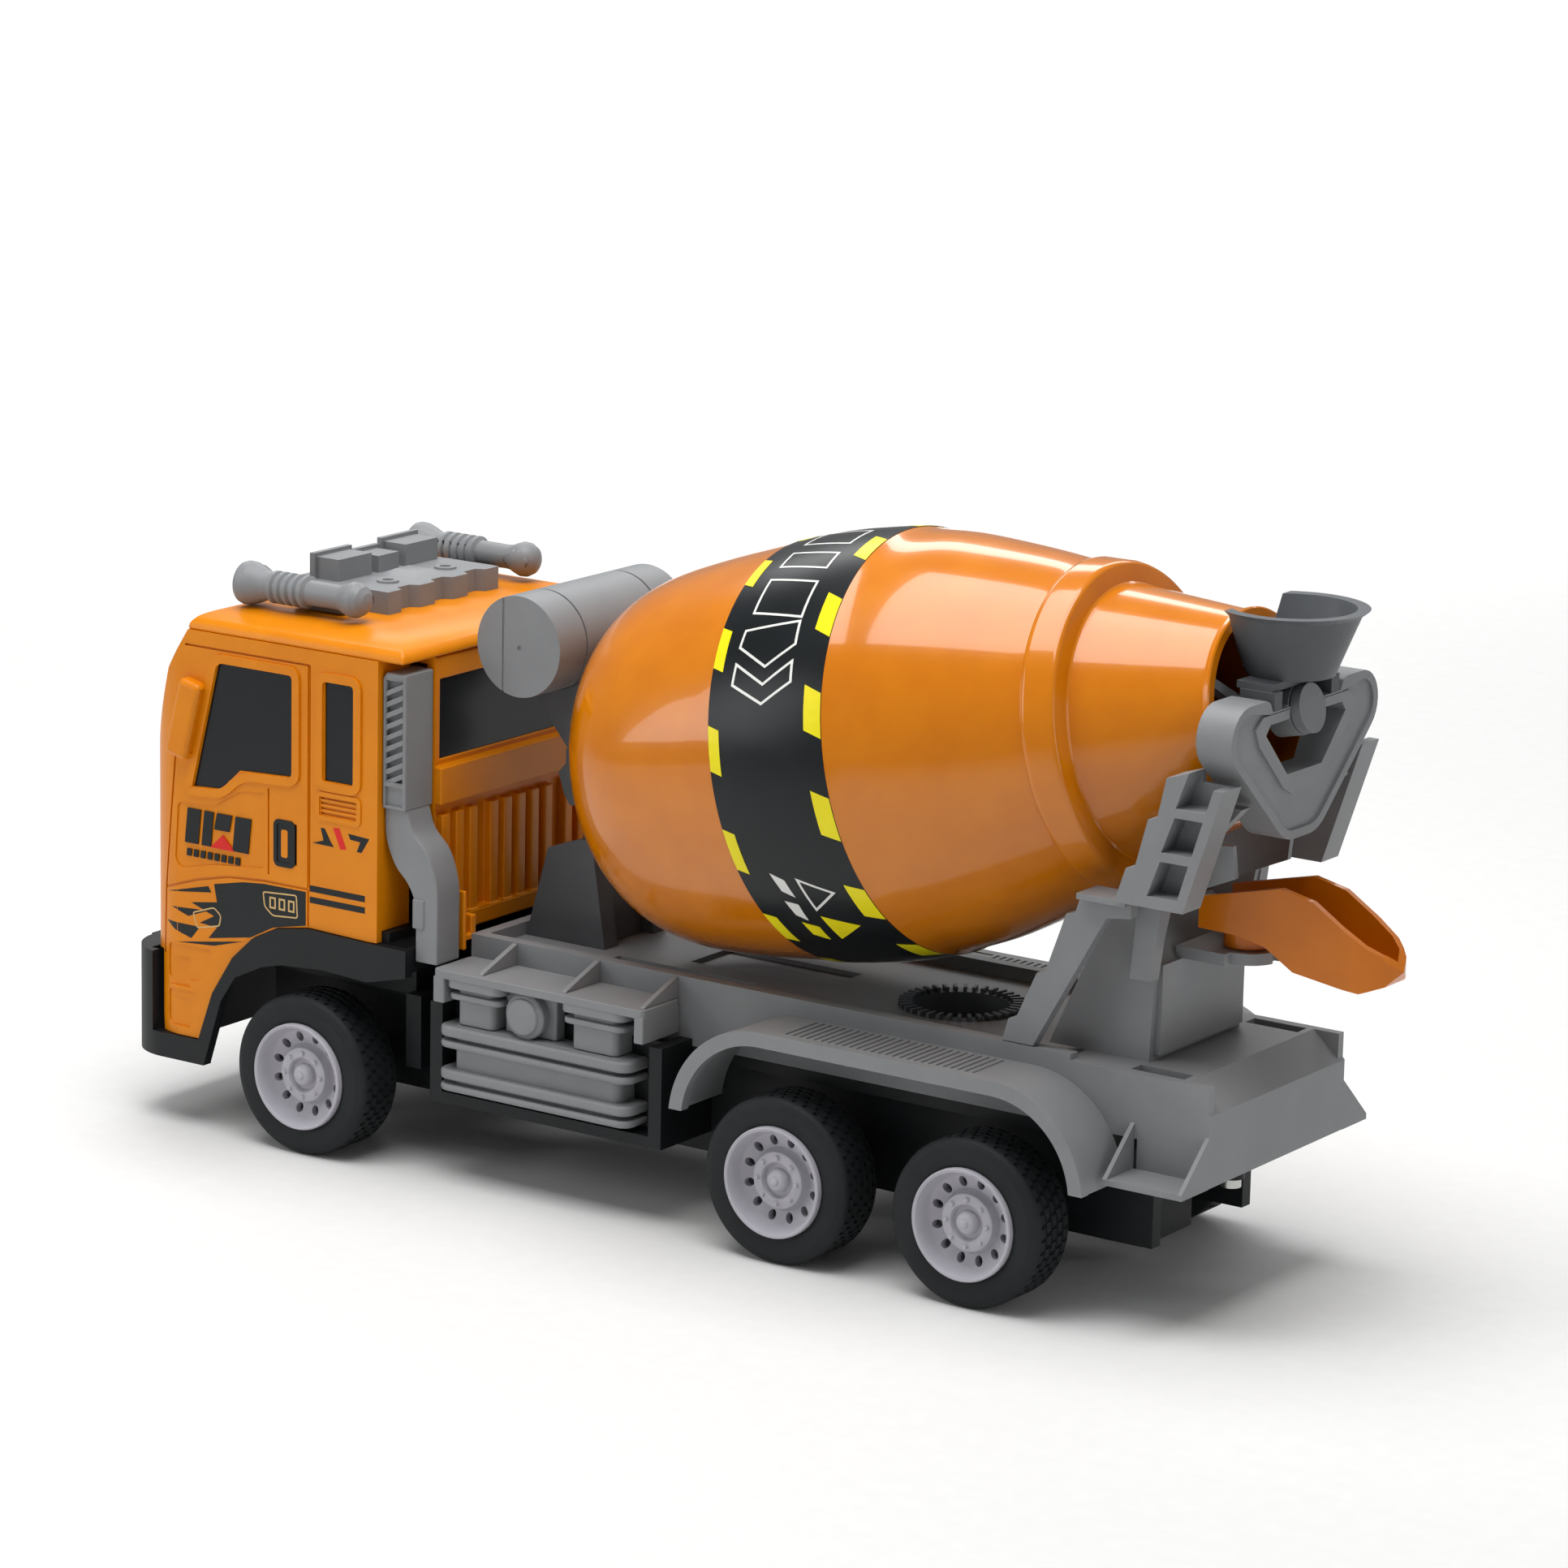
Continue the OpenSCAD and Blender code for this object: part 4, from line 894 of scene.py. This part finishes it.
def half_to_whole(half):
    """A mirror-symmetric outline from its left half, given from top to bottom as (y, z)."""
    return half + [(-y, z) for y, z in reversed(half)]


def across_plate(name, points, x0, x1):
    """A plate that stands across the truck, from a (y, z) outline."""
    piece = plate(name, points, x1 - x0)
    return settle(piece, Matrix.Translation((x0 * MM, 0, 0)) @ ACROSS)


def arc(cy, cz, radius, start, end, count):
    """Points on an arc in the y-z plane; 0 degrees is +Y and 90 is up."""
    turn = [math.radians(start + (end - start) * i / (count - 1)) for i in range(count)]
    return [(cy + radius * math.cos(t), cz + radius * math.sin(t)) for t in turn]


def on_drum_axis(radius, depth, along):
    """A cylinder on the drum's axis, with its middle at a place along it."""
    bpy.ops.mesh.primitive_cylinder_add(vertices=48, radius=radius * MM, depth=depth * MM)
    return settle(bpy.context.object, DRUM_PLACE @ Matrix.Translation((0, 0, along * MM)))


body_half = ([(16.5, 153.8), (17.8, 156.2), (19.4, 157)] + arc(27.4, 148.7, 8.3, 90, -50, 12)
             + arc(3.6, 131.4, 11.4, -48, -88, 7))
bracket = across_plate("rear_bracket", half_to_whole(body_half), BRACKET_BACK, BRACKET_FRONT)
hole = half_to_whole([(17.4, 150.8), (19.4, 148.4), (8.4, 137)])
border_half = ([(17.6, 153.4)] + arc(27.2, 148.6, 6.3, 96, -48, 10) + arc(3.4, 131.4, 9.2, -46, -88, 6))
bead_half = [(20.9, 153.2), (24.4, 150.4), (22.4, 146.2), (9.6, 133.6), (5.4, 131.6)]
cut_with(bracket, across_plate("hole_cutter", hole, BRACKET_BACK - 1, BRACKET_FRONT + 1))
outer_relief = across_plate("relief_cutter", half_to_whole(border_half),
                            BRACKET_BACK - 1, BRACKET_BACK + RELIEF_DEEP)
inner_island = across_plate("relief_island", half_to_whole(bead_half), BRACKET_BACK - 2, BRACKET_BACK + 2)
cut_with(outer_relief, inner_island)
cut_with(bracket, outer_relief)
deselect_all()
bearing = on_drum_axis(6.5, 6.4, 120.3)
mouth_clearance = on_drum_axis(27.4, 9, 109.5)
pin_head_room = on_drum_axis(8.2, 12, 129.6)
cut_with(bracket, mouth_clearance, pin_head_room)
bracket = join("rear_bracket", [bracket, bearing])
finish_edges(bracket, 0.45, segments=3, corner=34)
place_piece(bracket, grey_abs, "truck", "grey_plastic", "saddle")
print("bracket faces:", len(bracket.data.polygons))

# %% [markdown]
# ## Boxes and tank on the side
# The side equipment is one grey moulding under the deck's shelf: two lidded boxes, a filler plate
# with a round cap, and a long tank with four bands. All its corners are well rounded in plan, which a
# bevel on the plain CAD copy can't give, so each body and band is a plate with its corners bevelled
# before the thickness is given, and the edges are softened afterwards.

# %% Side equipment
def upright_box(name, x0, x1, y0, y1, z0, z1, corner, soft=0.35):
    """A box with round corners in plan and soft edges."""
    piece = outline(name, [(x0, y0), (x1, y0), (x1, y1), (x0, y1)])
    for vertex in piece.data.vertices:
        vertex.co.z = z0 * MM
    edit(piece)
    bpy.ops.mesh.bevel(offset=corner * MM, segments=5, affect="VERTICES")
    bpy.ops.mesh.select_all(action="SELECT")
    bpy.ops.mesh.extrude_region_move(TRANSFORM_OT_translate={"value": (0, 0, (z1 - z0) * MM)})
    even_normals()
    finish_edges(piece, soft, 3, 50)
    return piece


SHELF_REAR, SHELF_AHEAD = 8, 76
SHELF_IN, SHELF_OUT = 33, 49.5
equipment = [upright_box("shelf", SHELF_REAR, SHELF_AHEAD, SHELF_IN, SHELF_OUT, 55.6, 58, 1.5)]
for x0, x1 in ((57.2, 69.4), (17.6, 32.2)):
    equipment.append(upright_box("box_body", x0, x1, 36, 47.6, 43.6, 54.6, 1.8))
    equipment.append(upright_box("box_lid", x0 - 3.2, x1 + 3, 36, 49.3, 53.4, 56, 3))
    equipment.append(upright_box("box_band", x0 - 2.6, x1 + 2.4, 36, 48.9, 50.4, 52.1, 2.6, 0.5))
equipment.append(upright_box("filler_plate", 38.8, 55.4, 41, 45, 43.6, 55.8, 0.6))
equipment.append(upright_box("tank_body", 16.6, 70.6, 36, 47.6, 25.6, 43.4, 2.4))
for z0, z1 in ((25.5, 27.5), (28.6, 31.4), (37.2, 39.2), (40.2, 43.2)):
    equipment.append(upright_box("tank_band", 12.3, 74.5, 36, 50, z0, z1, 3.6, 0.8))
cap_profile = [(0, 0), (6.2, 0), (6.2, 2.9), (5.7, 3.4), (5, 3.6), (4.7, 4.3), (4.2, 4.5), (0, 4.5)]
cap = spun("filler_cap", cap_profile, 48)
cap_place = Matrix.Translation((47.2 * MM, 44.6 * MM, 49.4 * MM))
settle(cap, cap_place @ Matrix.Rotation(math.radians(-90), 4, "X"))
finish_edges(cap, 0.15)
equipment.append(cap)
for x in (9.6, 34.6, 61.6):
    gusset_outline = [(SHELF_IN, 58), (48, 58), (47.4, 58.6), (SHELF_IN, 63.8)]
    gusset = across_plate("gusset", gusset_outline, x - 0.8, x + 0.8)
    finish_edges(gusset, 0.25)
    equipment.append(gusset)
equipment.append(upright_box("shelf_front_end", 72.4, SHELF_AHEAD, SHELF_IN, SHELF_OUT, 49, 56, 0.5))
equipment.append(upright_box("shelf_rear_end", SHELF_REAR, 11, SHELF_IN, SHELF_OUT, 49, 56, 0.5))
print("side equipment:", len(equipment), "mouldings a side")
on_both_sides(join("side_equipment", equipment), grey_abs, "grey_plastic", "side_boxes")

# %% [markdown]
# ## Exhaust stacks
# Each stack starts as a square box with a hatch of slanted bars on its outer face, turns down in a
# soft S-bend and ends in a flat leg with a clip. The hatch is a pocket cut into the box, with bars
# laid over it, so that it holds real shadow. The S-bend is a plate whose outline is a smooth curve.

# %% Exhaust stacks
HATCH_BARS, HATCH_PITCH = 9, 3


def side_slab(name, points, y0, y1, soft=0.4):
    """A plate in the x-z plane between two y values, with soft edges."""
    piece = plate(name, points, y1 - y0)
    settle(piece, Matrix.Translation((0, y1 * MM, 0)) @ Matrix.Rotation(math.radians(90), 4, "X"))
    finish_edges(piece, soft, 3, 40)
    return piece


box_outline = [(86.4, 98), (94.2, 98), (94.2, 133), (93, 134.6), (86.4, 134.6)]
stack_box = side_slab("stack_box", box_outline, 36.6, 48.4, 0.6)
hatch_outline = [(87.4, 105.4), (93.2, 105.4), (93.2, 132.6), (87.4, 132.6)]
square_outline = [(87.4, 99), (93.2, 99), (93.2, 104.2), (87.4, 104.2)]
cut_with(stack_box, side_slab("hatch_pocket", hatch_outline, 46.8, 49, 0),
         side_slab("square_pocket", square_outline, 47.6, 49, 0))
finish_edges(stack_box, 0)
stack_parts = [stack_box]
for i in range(HATCH_BARS):
    z = 105.4 + i * HATCH_PITCH
    bar_outline = [(87.3, z + 1.4), (93.3, z - 1.4), (93.3, z + 0.1), (87.3, z + 2.9)]
    stack_parts.append(side_slab("hatch_bar", bar_outline, 46.9, 48.2, 0.15))
bend_front = smooth_curve([(94, 98.4), (93.6, 90), (90.6, 83), (86.4, 78.6), (84, 74), (83.6, 69.6)])
bend_back = smooth_curve([(76.4, 70), (76.6, 79), (79.4, 87), (84.6, 92.6), (86.6, 98.4)])
bend_outline = bend_front + [(83.6, 58), (76.4, 58)] + bend_back
stack_parts.append(side_slab("stack_bend", bend_outline, 37.6, 47.4, 0.5))
clip_outline = [(80.6, 67), (84.4, 67), (84.4, 75), (80.6, 75)]
stack_parts.append(side_slab("stack_clip", clip_outline, 37.2, 47.8, 0.4))
print("stack parts:", len(stack_parts), "a side")
on_both_sides(join("exhaust_stack", stack_parts), grey_abs, "grey_plastic", "exhaust")

# %% [markdown]
# ## The roof's beacon rack
# The rack is one moulding of blocks and two air horns. The horns are turned pieces with ring ribs, a
# flared bell and a ball end, so each is spun. The rest is a softened copy of the CAD node, with the
# node's own plain horns cut off at both ends.

# %% Air horns
HORN_RIBS, RIB_PITCH = 5, 2.6
RACK_END = 33.4
horn_profile = [(0, 0), (2.2, 0.4), (3.8, 1.6), (4.7, 3.4), (4.8, 5), (4.2, 6.8), (3.5, 8.4), (3.3, 10),
                (3.4, 19.4)]
for rib in range(HORN_RIBS):
    start = 19.6 + rib * RIB_PITCH
    horn_profile += [(3.7, start), (4.4, start + 0.5), (4.4, start + 1.5), (3.7, start + 2)]
horn_profile += [(3.7, 32.4), (4.1, 34.4), (5, 36.6), (5.8, 39), (5.9, 40.8), (5.6, 41.8), (5, 42),
                 (4.2, 40.6), (2.6, 38.4), (0, 37.6)]
horn = spun("air_horn", horn_profile, 64)
horn_place = Matrix.Translation((108 * MM, 37 * MM, 149.5 * MM))
settle(horn, horn_place @ Matrix.Rotation(math.radians(90), 4, "Y"))
on_both_sides(horn, grey_abs, "grey_plastic")
rack = moulded("roof_rack", grey_abs, 0.5)
edit(rack)
for sign in (1, -1):
    bpy.ops.mesh.select_all(action="SELECT")
    bpy.ops.mesh.bisect(plane_co=(0, sign * RACK_END * MM, 0), plane_no=(0, sign, 0),
                        clear_outer=True, use_fill=True)
bpy.ops.object.mode_set(mode="OBJECT")
print("rack faces:", len(rack.data.polygons))

# %% [markdown]
# ## The parts that only need soft edges
# The remaining parts have their shape from the CAD model already: frame, deck, tower, hopper, chute,
# glazing and the works inside. Each one is copied and softened with a radius that suits its size, so
# that a big moulding catches a broad line of light and a small gear keeps its teeth.

# %% Soften the plain parts
plain_parts = {
    "chassis": (black_abs, 0.35), "motor_housing": (black_abs, 0.4), "front_bumper": (black_abs, 0.8),
    "grille": (black_abs, 0.3), "cab_rear_wall": (cab_orange, 0.45), "water_tank": (grey_abs, 0.25),
    "tank_bracket": (dark_grey_abs, 0.3), "drum_pedestal": (dark_grey_abs, 0.4), "deck": (grey_abs, 0.4),
    "tooth_ring": (dark_grey_abs, 0.12), "rear_tower": (grey_abs, 0.35),
    "discharge_scoop": (grey_abs, 0.3), "hopper": (dark_grey_abs, 0.35), "chute": (chute_orange, 0.5),
    "windscreen": (dark_film, 0.1), "rear_window": (dark_film, 0.1), "headlamps": (lamp_lens, 0.2),
    "drum_fins": (drum_orange, 0.2), "drum_rear_hub": (grey_abs, 0.4),
    "axle_gear": (white_acetal, 0.08), "idler_gear": (white_acetal, 0.08),
    "flywheel": (bright_steel, 0.15), "drum_front_spindle": (bright_steel, 0.2),
    "chute_pin": (bright_steel, 0.2), "chassis_screws": (zinc_steel, 0.15),
    "front_axle": (bright_steel, 0.2), "mid_axle": (bright_steel, 0.2), "rear_axle": (bright_steel, 0.2),
}
for side in SIDES:
    plain_parts["side_window_" + side] = (dark_film, 0.1)
    plain_parts["fender_" + side] = (grey_abs, 0.25)
    plain_parts["ladder_" + side] = (grey_abs, 0.35)
for part, (material, radius) in plain_parts.items():
    moulded(part, material, radius)
print("softened parts:", len(plain_parts))
